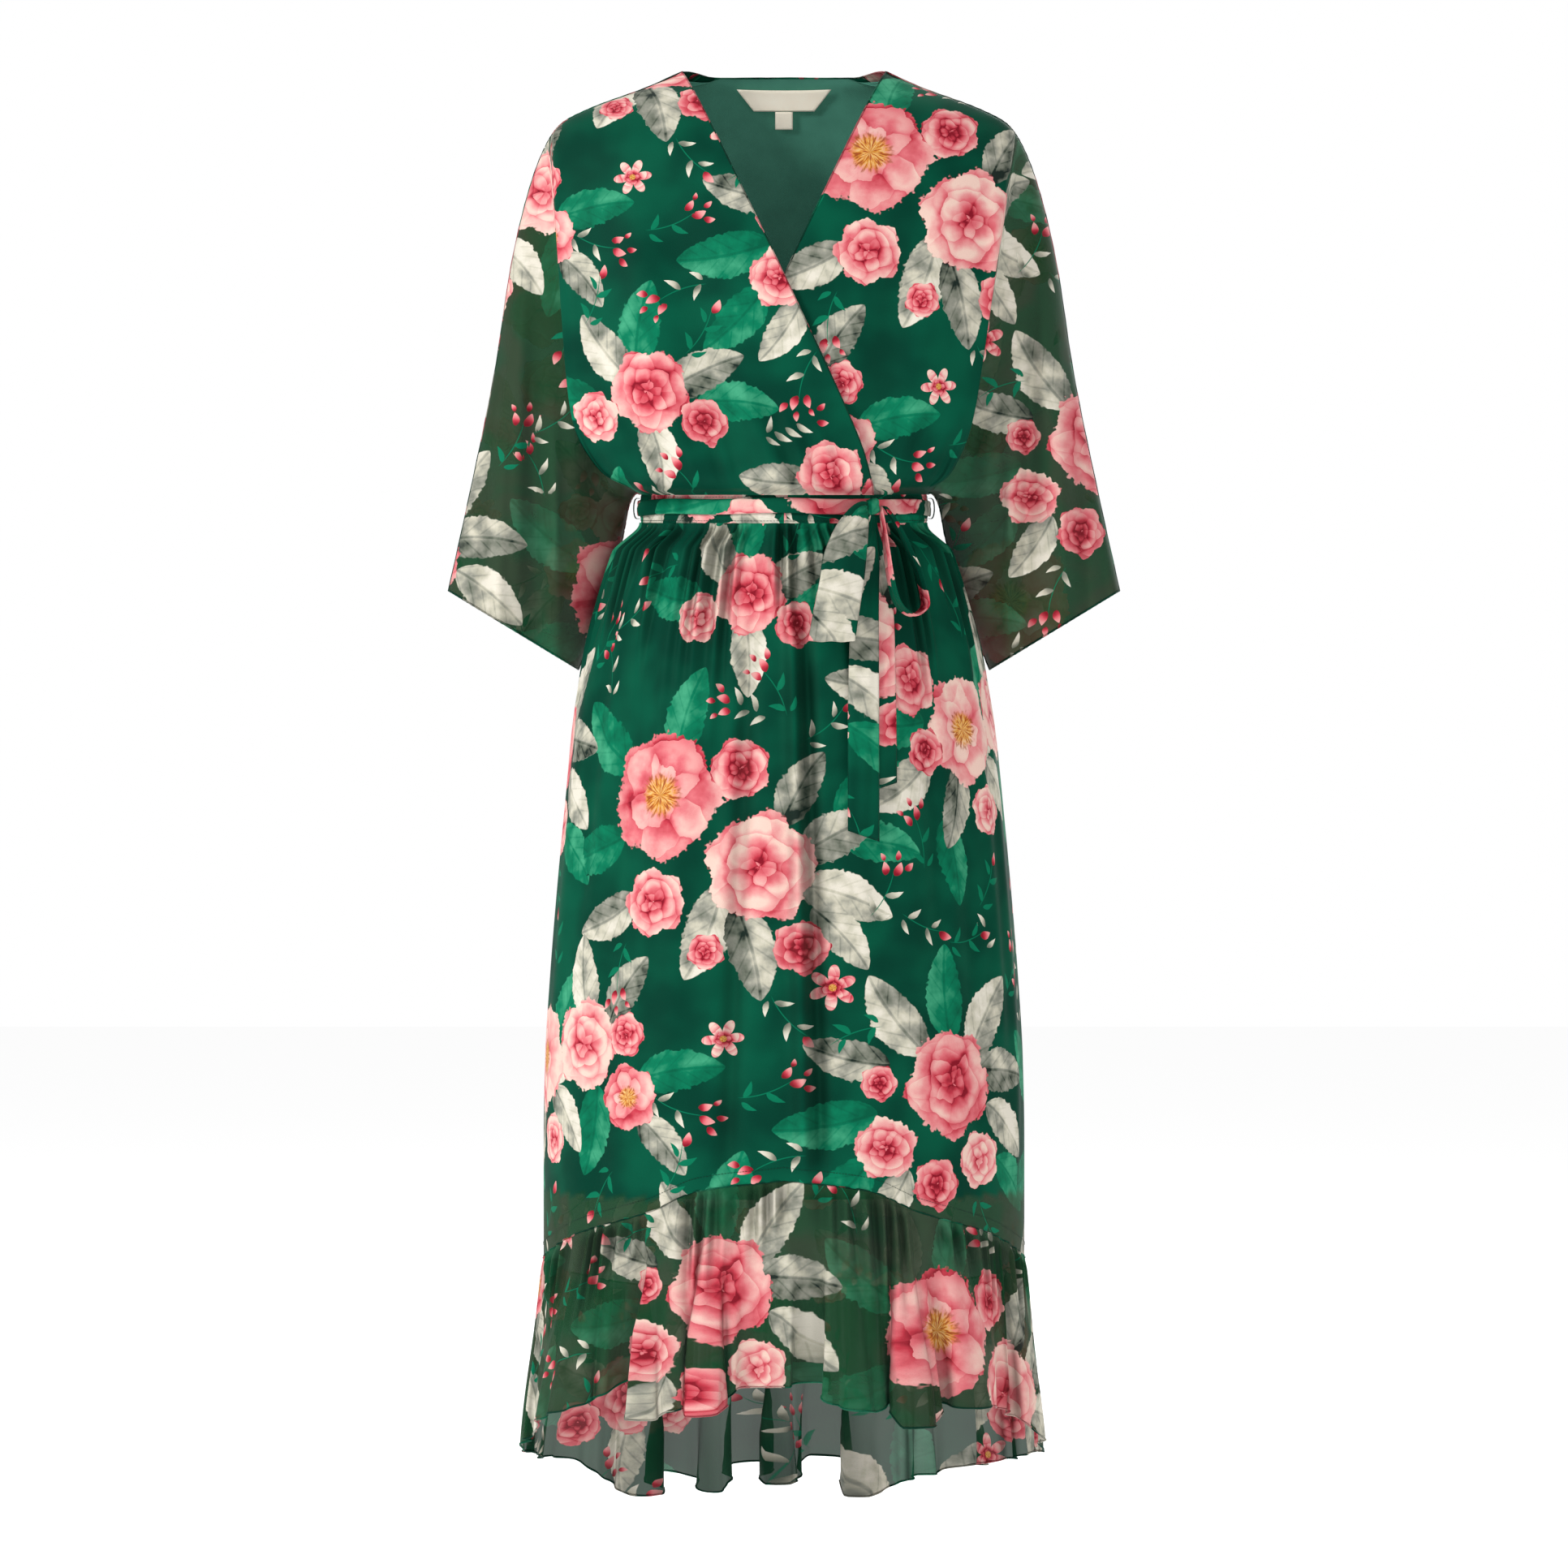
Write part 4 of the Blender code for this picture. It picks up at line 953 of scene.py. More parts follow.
GUIDES = {
    "front": {
        "top": (0, 0.07, 0.15, 0.215, 0.25, 0.36, 0.66, 1),
        "end": (0, 0.33, 0.68, 0.97, 1.06, 1.25, 1.62, 2),
        "bow": (-0.01, 0, 0.022, 0, 0, 0.008, 0.004, 0),
        "sleeve": (0, 0, 0, 0, 0.7, 1, 1, 1),
        "deep": (0.05, 0.05, 0.05, 0.05, 0.052, 0.058, 0.06, 0.058),
    },
    "back": {
        "top": (-1, 0, 0.15, 0.215, 0.25, 0.36, 0.66, 1),
        "end": (0, 0.36, 0.68, 0.97, 1.06, 1.25, 1.62, 2),
        "bow": (0, 0, 0.018, 0, 0, 0.018, 0.006, 0),
        "sleeve": (0, 0, 0, 0.05, 0.45, 1, 1, 1),
        "deep": (0.05, 0.05, 0.05, 0.05, 0.036, 0.026, 0.044, 0.052),
    },
}
CREST, ROOT, SPANS = 3, 4, 7
WAIST_PULLS, WAIST_PULL = 13, 0.0022
BLOUSE_AT, BLOUSE_SPREAD, BLOUSE_OUT, BLOUSE_DROP = 0.955, 0.035, 0.003, 0.004
SETTLED_FROM, SHOULDER_TURN = 0.982, 0.012
CREASE_DEPTH = 1.5
FOLD_CREST_BOW = {"front": {-1: 0.060, 1: 0.034}, "back": {-1: 0.024, 1: 0.022}}
FOLD_ROOT_BOW = {"front": {-1: 0.036, 1: 0.018}, "back": {-1: 0.028, 1: 0.024}}
FACING = {"front": -1, "back": 1}
WAIST_DEPTH = {"front": WAIST_FRONT, "back": WAIST_BACK}
# Creases, in millimetres: x and z of start and end, width, and height of the ridge or, below 0, trough
CREASES = {
    "front_right": [
        (-48, -300, 6, -392, 12, 5.5), (-20, -300, 18, -394, 7, -3), (-7, -322, 29, -394, 9, 5),
        (28, -330, 46, -392, 8, 3.5), (-150, -120, -105, -360, 30, 4),
        (-110, -100, -60, -340, 34, -3), (-185, -300, -120, -390, 16, 4),
        (-155, -310, -85, -390, 12, -3.5), (-205, -60, -190, -360, 12, 4),
        (-252, -180, -262, -500, 10, 5.5), (-228, -240, -228, -530, 12, -5),
        (-286, -330, -300, -490, 9, -4), (-240, -130, -243, -440, 8, 3.5),
        (-270, -260, -280, -520, 7, -3), (-212, -310, -206, -540, 8, 4),
    ],
    "front_left": [
        (150, -110, 110, -360, 28, 4), (110, -150, 80, -350, 22, -3),
        (175, -300, 120, -390, 14, 4.5), (140, -320, 95, -390, 10, -3.5),
        (200, -70, 186, -360, 10, 3.5), (250, -160, 256, -510, 11, 6),
        (226, -220, 222, -530, 10, -5), (282, -300, 296, -495, 10, -4.5),
        (238, -120, 239, -400, 7, 3.5), (268, -280, 275, -530, 8, -3.5),
        (208, -330, 203, -545, 8, 4),
    ],
    "back": [
        (-60, -60, -75, -370, 30, -4), (50, -90, 66, -370, 26, -4), (4, -160, -8, -380, 22, 3.5),
        (-140, -120, -110, -380, 26, 4), (146, -100, 112, -380, 28, 4),
        (-170, -290, -130, -388, 13, -3.5), (172, -300, 126, -388, 13, -3.5),
        (-256, -200, -262, -510, 12, 5), (254, -180, 262, -505, 11, 5.5),
        (-226, -260, -226, -535, 12, -4), (228, -240, 224, -535, 12, -4.5),
    ],
}
print("creases:", {name: len(rows) for name, rows in CREASES.items()})


# %% [markdown]
# Each fold and gather is a soft ridge added to the depth of the surface. Creases are drawn from
# point to point; gathers are waves with an uneven pace and height, because no elastic draws cloth in
# evenly.


# %% Folds and gathers
def crease_height(x, z, creases):
    """How far the creases lift the cloth at (x, z)."""
    height = np.zeros_like(x)
    for crease in creases:
        x0, z0, x1, z1, width, rise = (v / 1000 for v in crease)
        reach = math.hypot(x1 - x0, z1 - z0)
        way_x, way_z = (x1 - x0) / reach, (z1 - z0) / reach
        run = (x - x0) * way_x + (z - z0) * way_z
        off = (x - x0) * way_z - (z - z0) * way_x
        fade = ease(-0.15, 0.45, run / reach) * (1 - ease(1.0, 1.25, run / reach))
        height += CREASE_DEPTH * rise * fade * ridge(off, width)
    return height


def gathers(place, count, seed):
    """Uneven waves, about `count` of them over one unit of place."""
    pace = 0.34 * np.sin(TURN * (5.3 * place + seed))
    pace += 0.22 * np.sin(TURN * (11.7 * place + 2 * seed))
    size = 0.72 + 0.28 * np.sin(TURN * (7.9 * place + 3.3 * seed))
    wave = np.cos(TURN * (count * place + pace))
    return (0.8 * wave + 0.2 * wave * np.abs(wave)) * size


def overarm(top):
    """x and z of the overarm seam, or of the back neck where top is negative."""
    x, z = along(OVERARM, np.clip(top, 0, 1))
    inward = np.clip(-top, 0, 1)
    return x * (1 - inward), z + BACK_NECK_RISE * (1 - (1 - inward) ** 2)


def lower_edge(end, start_angle, face):
    """x, z, seam y and waist depth along the waist (end 0 to 1) and the underarm (1 to 2)."""
    angle = np.radians(start_angle + (90 - start_angle) * np.clip(end, 0, 1))
    depth = WAIST_DEPTH[face] * np.cos(angle)
    waist_z = WAIST_Z + WAIST_TILT * FACING[face] * depth
    x, y, z = along(UNDERARM, np.clip(end - 1, 0, 1))
    under = end > 1
    return np.where(under, x, WAIST_HALF * np.sin(angle)), np.where(under, z, waist_z), y, depth


def torso_depth(x, z, face):
    """How far the filled-out body of the dress stands from its middle plane at (x, z)."""
    half = smooth(TORSO["z"], TORSO["half"], z)
    ratio = np.clip(np.abs(x) / half, 0, 1)
    return smooth(TORSO["z"], TORSO[face], z) * np.sqrt(1 - ratio**2.3)


def bodice_half(across, down, side, face, creases, upper=False):
    """Half a bodice with its sleeve; side is -1 for the wearer's right and 1 for their left."""
    guides = {name: list(row) for name, row in GUIDES[face].items()}
    guides["bow"][CREST], guides["bow"][ROOT] = FOLD_CREST_BOW[face][side], FOLD_ROOT_BOW[face][side]
    marks = np.linspace(0, 1, len(guides["top"]))
    top, end, bow, sleeve, deep = (smooth(marks, row, across) for row in guides.values())
    start_angle = -math.degrees(math.asin(WRAP_END / WAIST_HALF)) if face == "front" else 0.0
    top_x, top_z = overarm(top)
    end_x, end_z, under_y, waist_depth = lower_edge(end, start_angle, face)

    fall = (1 - np.cos(np.pi * down)) / 2
    x = top_x + (end_x - top_x) * fall + bow * fall**0.8 * (1 - fall**14)
    z = top_z + (end_z - top_z) * fall
    body = 1 - sleeve
    settle = ease(SETTLED_FROM, 1.0, fall)
    depth = torso_depth(x, z, face) * (1 - settle) + waist_depth * settle
    if upper:
        ratio = np.clip(np.abs(x) / smooth(TORSO["z"], TORSO["half"], z), 0, 1)
        depth = depth + WRAP_LIFT * ease(0.25, 0.5, fall) * (1 - ratio**4)
    shoulder = ease(-0.3, 0.0, top) * (1 - np.sqrt(np.clip(fall / SHOULDER_TURN, 0, 1)))
    depth = np.maximum(depth, 0) * (1 - shoulder)
    free = ease(0.0, 0.12, fall) * (1 - settle)
    fold = crease_height(side * x, z, creases) * free * np.sqrt(np.clip(np.sin(np.pi * down), 0, 1))
    waist_pull = gathers(end, WAIST_PULLS, 0.2 + 0.3 * side) * WAIST_PULL
    waist_pull = waist_pull * ease(0.80, 0.97, fall) * (1 - settle) * body
    blouse = ridge(fall - BLOUSE_AT, BLOUSE_SPREAD) * body
    seam_y = OVERARM_SWEEP * np.clip(top, 0, 1)
    seam_y = seam_y + (under_y - seam_y) * fall
    hollow = sleeve * deep * np.sin(np.pi * down)
    out = body * (depth + BLOUSE_OUT * blouse) + hollow + fold + waist_pull + CLOTH_OUT
    return np.column_stack([side * x, seam_y + FACING[face] * out, z - BLOUSE_DROP * blouse])


def back_surface(across, down):
    """The whole back, from cuff to cuff."""
    place = 2 * across - 1
    right = bodice_half(np.abs(place), down, -1, "back", CREASES["back"])
    left = bodice_half(np.abs(place), down, 1, "back", CREASES["back"])
    return np.where((place < 0)[:, None], right, left)


print("depth of the back at the blades:", round(float(torso_depth(0.0, -0.2, "back")), 3))

# %% [markdown]
# The wrap is what the dress is named for: the wearer's right front lies on top and its edge runs
# from the shoulder across the body to the far side of the waist. Only the body of each panel is
# lined; past the root of the side fold the cloth is sheer.

# %% Sew the bodice
FRONT_COLUMNS, FRONT_ROWS = 132, 104
LINED_TO = (CREST + 0.35) / SPANS
SHOULDER_LINE = np.linspace(0.01, -0.40, 200)
SHOULDER_DEPTH = torso_depth(0.10 * ease(-0.30, -0.10, SHOULDER_LINE), SHOULDER_LINE, "front")
SHOULDER_WALK = walked(np.column_stack([SHOULDER_LINE, SHOULDER_DEPTH]))


def cloth_height(z):
    """Height in the cut: the length walked up the body, over the blouse and the shoulder."""
    inside = np.interp(-z, -SHOULDER_LINE, -SHOULDER_WALK)
    return np.where(z < SHOULDER_LINE[-1], z - SHOULDER_LINE[-1] - SHOULDER_WALK[-1], inside)


def level_cut_of_half(points, across, start):
    """Sideways place in the cut: walked along the body, and measured level on the sleeve."""
    columns = int(round(1 / np.diff(across[:2])[0]))
    body = walk(points, columns, start)
    middle = len(points) // (columns + 1) * 3 // 4
    rows = np.abs(points[:, 0]).reshape(-1, columns + 1)
    root = int(columns * ROOT / SPANS)
    sleeve = rows - rows[middle, root] + body.reshape(-1, columns + 1)[middle, root]
    share = ease((CREST + 0.3) / SPANS, (ROOT + 0.1) / SPANS, across)
    return body * (1 - share) + sleeve.ravel() * share


def front_cut(side, shift):
    """The cut of a front, measured from its wrap edge's place beside the middle of the body."""

    def cut(points, across, down):
        start = side * points[across == 0, 0]
        level = level_cut_of_half(points, across, start)
        return side * level + shift[0], cloth_height(points[:, 2]) + shift[1]

    return cut


def back_cut(points, across, down):
    """The cut of the back, measured from its middle to either side."""
    rows = points.reshape(-1, 2 * FRONT_COLUMNS + 1, 3)
    half = np.tile(np.linspace(0, 1, FRONT_COLUMNS + 1), len(rows))
    left = level_cut_of_half(rows[:, FRONT_COLUMNS:].reshape(-1, 3), half, 0.0)
    right = level_cut_of_half(rows[:, FRONT_COLUMNS::-1].reshape(-1, 3), half, 0.0)
    left, right = left.reshape(len(rows), -1), right.reshape(len(rows), -1)
    level = np.concatenate([-right[:, :0:-1], left], axis=1)
    start, height = PRINT_AT["back_cloth"]
    return start - level.ravel(), cloth_height(points[:, 2]) + height


def lined_front(points, across):
    """1 on the body of a front and 0 on its sleeve."""
    return 1 - ease(LINED_TO - 0.01, LINED_TO + 0.01, across)


def lined_back(points, across):
    return lined_front(points, np.abs(2 * across - 1))


def front_panel(node, side, upper):
    return lay(
        node + "_cloth",
        FRONT_COLUMNS,
        FRONT_ROWS,
        lambda across, down: bodice_half(across, down, side, "front", CREASES[node], upper),
        front_cut(side, PRINT_AT[node + "_cloth"]),
        flip=side > 0,
        lined=lined_front,
    )


front_right = front_panel("front_right", -1, upper=True)
front_left = front_panel("front_left", 1, upper=False)
back = lay(
    "back_cloth", 2 * FRONT_COLUMNS, FRONT_ROWS, back_surface, back_cut, flip=False, lined=lined_back
)

# %% [markdown]
# ## Waist casing and back lining
# The waist is drawn in by elastic in a casing: a band whose cloth stands in many small upright
# puffs. The linings are plain, and they show in two places: the back's inside the neck, and the
# skirt's through the sheer cloth near the hem. The back's is the middle of its panel moved inwards.

# %% Waist casing and back lining
LINING_SET_IN, LINING_NECK_STEP = 0.0028, 0.0026
CASING_PUFFS, CASING_PUFF = 62, 0.0011
CASING_RUCHES, CASING_RUCHE = 4, 0.0004
CASING_CUT = (0.86, 0.030)
CASING_GRID, BACK_LINING_GRID = (6 * CASING_PUFFS, 12), (90, 70)


def moved(surface, distance):
    """A surface moved along its own normals, which point away from the hollow."""

    def shifted(across, down):
        step = 1e-3
        left, right = np.maximum(across - step, 0), np.minimum(across + step, 1)
        upper, lower = np.maximum(down - step, 0), np.minimum(down + step, 1)
        run = surface(right, down) - surface(left, down)
        drop = surface(across, lower) - surface(across, upper)
        normal = np.cross(run, drop)
        normal /= np.linalg.norm(normal, axis=1)[:, None]
        return surface(across, down) + distance * normal

    return shifted


def waist_depth_at(turn):
    """The waist oval's half depth, which differs between front and back; turn is 0 in front."""
    return np.where(np.cos(turn) > 0, WAIST_FRONT, WAIST_BACK)


def waist_point(angle, outset, below):
    """A point round the waist, outset from its oval and below its top edge."""
    turn = np.radians(angle)
    deep = waist_depth_at(turn)
    y = -(deep + outset) * np.cos(turn)
    return np.column_stack([(WAIST_HALF + outset) * np.sin(turn), y, WAIST_Z + WAIST_TILT * y - below])


def casing_surface(across, down):
    puff = np.abs(gathers(across, CASING_PUFFS, 0.4)) * CASING_PUFF * np.sin(np.pi * down) ** 0.5
    ruche = CASING_RUCHE * np.cos(TURN * CASING_RUCHES * down) * np.sin(np.pi * down)
    return waist_point(360 * across, CASING_WALL * 0.6 + puff + ruche, CASING_HEIGHT * down)


def level_cut(size, shift=(0.0, 0.0)):
    """A cut with level rows: its width goes round the body and its height down it."""

    def cut(points, across, down):
        return shift[0] + size[0] * across, shift[1] - size[1] * down

    return cut


def back_lining_surface(across, down):
    """The middle third of the back, set inwards and kept clear of its shoulder edges."""
    reach = 1 / 3
    place = (1 - reach) / 2 + reach * across
    off_shoulder = ease(0.07, 0.12, np.abs(2 * place - 1))
    start = (0.014 + 0.050 * off_shoulder) * (1 - ease(0.0, 0.05, down))
    inward = LINING_SET_IN + LINING_NECK_STEP * (1 - ease(0.0, 0.12, down))
    return moved(back_surface, -inward[:, None])(place, np.minimum(down * 0.992 + start, 0.996))


casing_cut = level_cut(CASING_CUT, PRINT_AT["waist_casing_cloth"])
casing = lay("waist_casing_cloth", *CASING_GRID, casing_surface, casing_cut, flip=True)
lining_back = lay(
    "lining_back_cloth",
    *BACK_LINING_GRID,
    back_lining_surface,
    lambda points, across, down: (points[:, 0], points[:, 2]),
    flip=False,
    paint=LINING,
)

# %% [markdown]
# ## The skirt
# Front and back are near-rectangles, gathered into the casing and hanging almost straight. The
# gathers are sharp at the waist and die out above the knee, where only a few long folds are left.
# The front's lower edge rises to its middle, and there the ruffle begins.

# %% Measures of the skirt
WAIST_GATHERS, GATHER_DEPTH = 28, 0.006
SKIRT_TOP_OUT = 0.0022
LINING_HEM_Z = -1.030
SKIRT = in_metres(
    z=(-1150, -1060, -983, -908, -833, -758, -683, -608, -571, -533, -496, -458, -430, -419, -405),
    half=(222, 222, 222, 220.5, 216, 210, 203, 195, 189, 182, 172, 160, 149, 142, 133),
    front=(153, 152, 150, 148.5, 146, 143, 140, 136, 133, 129, 124, 118, 113, 110, 108),
    back=(155, 153, 150, 148.5, 146, 144, 142, 140, 137, 132, 125, 116, 109, 104, 99),
)
HEM = {
    "front": in_metres(
        unitless="angle",
        angle=(0, 20, 33, 58, 75, 90),
        seam=(-1012, -1022, -1042, -1066, -1085, -1096.5),
        hem=(-1204, -1206, -1208, -1224, -1254, -1274.5),
    ),
    "back": in_metres(
        unitless="angle",
        angle=(0, 20, 37, 58, 75, 90),
        seam=(-1139, -1137, -1133, -1120, -1107, -1096.5),
        hem=(-1320, -1322, -1316, -1296, -1280, -1274.5),
    ),
}
# Long folds: place at the waist and at the hem (-1 to 1), height in millimetres, width, start, stop
LONG_FOLDS = {
    "front": [
        (-0.78, -0.82, 3.5, 0.06, 0.1, 0.9), (-0.66, -0.7, -3, 0.04, 0.02, 0.6),
        (-0.5, -0.56, -4, 0.05, 0.05, 1.05), (-0.38, -0.4, 3, 0.035, 0, 0.7),
        (-0.3, -0.32, 3.5, 0.05, 0.15, 0.95), (-0.185, -0.2, -3, 0.03, 0, 0.6),
        (-0.1, -0.15, -7, 0.03, 0.05, 1.05), (0.02, 0.05, 8.5, 0.024, 0.02, 1.05),
        (0.065, 0.1, -7.5, 0.022, 0.02, 1.05), (0.2, 0.22, 3, 0.045, 0, 0.75),
        (0.36, 0.34, 3.5, 0.06, 0.2, 0.9), (0.47, 0.46, -3.5, 0.035, 0.02, 0.7),
        (0.6, 0.58, -3.5, 0.05, 0.1, 1.05), (0.72, 0.72, 3, 0.035, 0, 0.8),
        (0.84, 0.8, 3.5, 0.045, 0.15, 0.95),
    ],
    "back": [
        (-0.8, -0.84, 3.5, 0.055, 0.1, 0.95), (-0.66, -0.7, -3, 0.035, 0, 0.7),
        (-0.55, -0.58, -4, 0.05, 0.05, 1.05), (-0.4, -0.42, 3, 0.04, 0, 0.8),
        (-0.28, -0.31, 4.5, 0.06, 0.1, 1), (-0.14, -0.16, -3.5, 0.035, 0.02, 0.75),
        (0, 0.02, -5, 0.05, 0.05, 1.05), (0.12, 0.14, 3.5, 0.035, 0, 0.7),
        (0.24, 0.27, 4, 0.055, 0.15, 0.95), (0.37, 0.4, -3, 0.035, 0.02, 0.8),
        (0.5, 0.55, -4.5, 0.06, 0.05, 1.05), (0.64, 0.67, 3, 0.035, 0, 0.75),
        (0.78, 0.82, 3.5, 0.05, 0.1, 0.95),
    ],
}
print("long folds:", {face: len(rows) for face, rows in LONG_FOLDS.items()})


# %% [markdown]
# The surface is half an oval at each height. Gathers and folds move a point outwards along the
# oval's own normal, so they stand up from the cloth and don't just shift it sideways.


# %% Sew the skirt
def oval(turn, half, depth, bulge):
    """A point of an oval section, moved out along its normal."""
    normal = np.hypot(depth * np.sin(turn), half * np.cos(turn))
    x = half * np.sin(turn) + bulge * depth * np.sin(turn) / normal
    y = depth * np.cos(turn) + bulge * half * np.cos(turn) / normal
    return x, y


def long_folds(folds, place, down):
    """How far the long folds lift the skirt at a place across it, -1 to 1."""
    height = np.zeros_like(place)
    for top, hem, rise, width, start, stop in folds:
        centre = top + (hem - top) * down
        fade = ease(start, start + 0.25, down) * (1 - ease(stop - 0.15, stop, down))
        height += rise / 1000 * fade * ridge(place - centre, width)
    return height


def skirt_size(z, face):
    """Half the skirt's width, and its depth on one face, at the heights z."""
    return smooth(SKIRT["z"], SKIRT["half"], z), smooth(SKIRT["z"], SKIRT[face], z)


def skirt_half(across, down, face):
    """The front or the back of the skirt, from the casing to the ruffle's seam."""
    hem = HEM[face]
    place = 2 * across - 1
    turn = np.radians(90 * place)
    deep = WAIST_DEPTH[face]
    top_z = WAIST_Z + WAIST_TILT * FACING[face] * deep * np.cos(turn) - CASING_HEIGHT
    seam_z = smooth(hem["angle"], hem["seam"], np.abs(90 * place))
    fall = down**1.5
    z = top_z + (seam_z - top_z) * fall
    reach = 0.26 + 0.10 * np.sin(TURN * (3.1 * across + 0.2)) + 0.06 * np.sin(TURN * 8.3 * across)
    fade = (0.35 + 0.65 * ease(0.0, 0.02, fall)) * (1 - ease(0.02, reach, fall))
    gather = gathers(across, WAIST_GATHERS, 0.1) * GATHER_DEPTH * fade
    gather *= 1 - ease(0.96, 1.0, np.abs(place))
    bulge = gather + long_folds(LONG_FOLDS[face], place, fall) * (1 - np.abs(place) ** 8)
    join = 1 - ease(0.0, 0.04, fall)
    half, depth = skirt_size(z, face)
    half = half + (WAIST_HALF + SKIRT_TOP_OUT - half) * join
    depth = depth + (deep + SKIRT_TOP_OUT - depth) * join
    x, y = oval(turn, half, depth, bulge)
    return np.column_stack([x, FACING[face] * y, z])


def skirt_cut(face, width, shift):
    """The skirt's cut: level across, and as deep as the cloth hangs."""

    def cut(points, across, down):
        return shift[0] - FACING[face] * width * (across - 0.5), points[:, 2] + shift[1]

    return cut


def sew_half(part, face, size, half_surface, cut_width, **how):
    """The front or the back of the skirt or of the ruffle."""
    name = f"{part}_{face}_cloth"
    cut = skirt_cut(face, cut_width, PRINT_AT[name])
    return lay(
        name, *size, lambda across, down: half_surface(across, down, face), cut, face == "front", **how
    )


def above_lining_hem(points, across):
    """1 where the lining lies behind the skirt."""
    return ease(LINING_HEM_Z - 0.002, LINING_HEM_Z, points[:, 2])


SKIRT_GRID, SKIRT_CUT_WIDTH = (336, 150), 0.62
skirt_front, skirt_back = (
    sew_half("skirt", face, SKIRT_GRID, skirt_half, SKIRT_CUT_WIDTH, lined=above_lining_hem, wide=1.0)
    for face in FACING
)

# %% [markdown]
# The lining is a plain tube inside the skirt. Its hem is shorter than the skirt's, so its edge shows
# as a faint level line through the sheer cloth at the sides.

# %% Line the skirt
LINING_EASE, LINING_TOP_IN, LINING_SWAY = 0.009, 0.003, 0.0016
SKIRT_LINING_GRID, SKIRT_LINING_CUT = (180, 40), (1.16, 0.620)


def skirt_lining_surface(across, down):
    turn = TURN * across
    deep = waist_depth_at(turn)
    top_z = WAIST_Z - WAIST_TILT * deep * np.cos(turn) - CASING_HEIGHT
    fall = down**1.4
    z = top_z + (LINING_HEM_Z - top_z) * fall
    join = 1 - ease(0.0, 0.12, fall)
    (half, front), (_, behind) = (skirt_size(z, face) for face in FACING)
    depth = np.where(np.cos(turn) > 0, front, behind) - LINING_EASE
    half = half - LINING_EASE
    half = half + (WAIST_HALF - LINING_TOP_IN - half) * join
    depth = depth + (deep - LINING_TOP_IN - depth) * join
    sway = LINING_SWAY * np.sin(9 * turn + 4 * down) * ease(0.2, 0.6, down)
    return np.column_stack([(half + sway) * np.sin(turn), -(depth + sway) * np.cos(turn), z])


lining_cut = level_cut(SKIRT_LINING_CUT)
lining_skirt = lay(
    "lining_skirt_cloth", *SKIRT_LINING_GRID, skirt_lining_surface, lining_cut, flip=True, paint=LINING
)

# %% [markdown]
# ## The ruffle
# A ruffle is a straight strip, longer than the seam it is gathered into. At the seam it stands in
# many small gathers; below, they join into wide, box-like flutes, and the hem swings in and out.

# %% Measures of the ruffle
RUFFLE_HALF, RUFFLE_DEPTH = 0.2400, 0.1720
RUFFLE_GATHERS, RUFFLE_GATHER_DEPTH = 40, 0.0056
RUFFLE_GRID, RUFFLE_CUT_WIDTH = (420, 52), 0.74
RUFFLE_LINED = {"front": 0.0, "back": 0.45}
FLUTES = {
    "front": in_metres(
        unitless="at",
        at=(-1, -0.9, -0.8, -0.67, -0.57, -0.51, -0.42, -0.345, -0.3, -0.22, -0.14, 0, 0.11, 0.2, 0.31,
            0.4, 0.45, 0.51, 0.57, 0.67, 0.8, 0.87, 0.94, 1),
        out=(0, 5, 9, 0, -10, 12, 10, -2, 11, 4, -9, -2, -10, 6, 10, 0, 13, 12, -4, 8, 3, -6, 3, 0),
        down=(0, 4, 2, -4, -10, 10, 6, 0, 8, 0, -6, -6, -8, 2, 6, 2, 14, 14, 2, 3, 0, 0, 3, 0),
    ),
    "back": in_metres(
        unitless="at",
        at=(-1, -0.92, -0.82, -0.72, -0.61, -0.55, -0.46, -0.37, -0.29, -0.22, -0.12, -0.03, 0.05, 0.14,
            0.23, 0.31, 0.42, 0.56, 0.7, 0.8, 0.9, 1),
        out=(0, 6, 12, 0, -13, -10, 12, 4, -12, 2, 14, -12, -4, 15, 4, -15, -6, 6, 14, -2, 4, 0),
        down=(0, 2, -4, 6, 16, 14, -4, 0, 12, 0, -10, 6, 2, -16, -8, 14, 6, 0, -4, -2, 0, 0),
    ),
}
print("marks along the hem:", {face: len(table["at"]) for face, table in FLUTES.items()})


# %% [markdown]
# A flute is more than a wave. Its crest and its trough are both broad, and its walls lean over a
# little, so that from the front one part of the cloth hides another. `flute_wave` gets that from the
# wave itself: the sideways lean is the wave times its own slope, which spreads crest and trough.


# %% Sew the ruffle
FLUTE_DEPTH, FLUTE_DROP = 1.7, {"front": 1.6, "back": 1.0}
FLUTE_LEAN, MOST_LEAN = 0.60, 0.010
SOFT_WAVES, SOFT_WAVE = 11, 0.0065


def flute_wave(flutes, across, down):
    """How far the flutes stand out, and how far they lean sideways, at a place of the ruffle."""

    def wave(place):
        spot = np.sin(np.pi / 2 * place)
        soft = gathers((place + 1) / 2, SOFT_WAVES, 0.55) * SOFT_WAVE * (1 - np.abs(place) ** 12)
        return FLUTE_DEPTH * smooth(flutes["at"], flutes["out"], spot) + soft * ease(0.05, 0.5, down)

    place = 2 * across - 1
    step = 1e-3
    low, high = np.maximum(place - step, -1), np.minimum(place + step, 1)
    out = wave(place) * down**1.1
    slope = (wave(high) - wave(low)) * down**1.1 / ((high - low) * RUFFLE_CUT_WIDTH / 2)
    lean = -FLUTE_LEAN * out * slope
    return out, np.clip(lean, -MOST_LEAN, MOST_LEAN) * (1 - np.abs(place) ** 12)


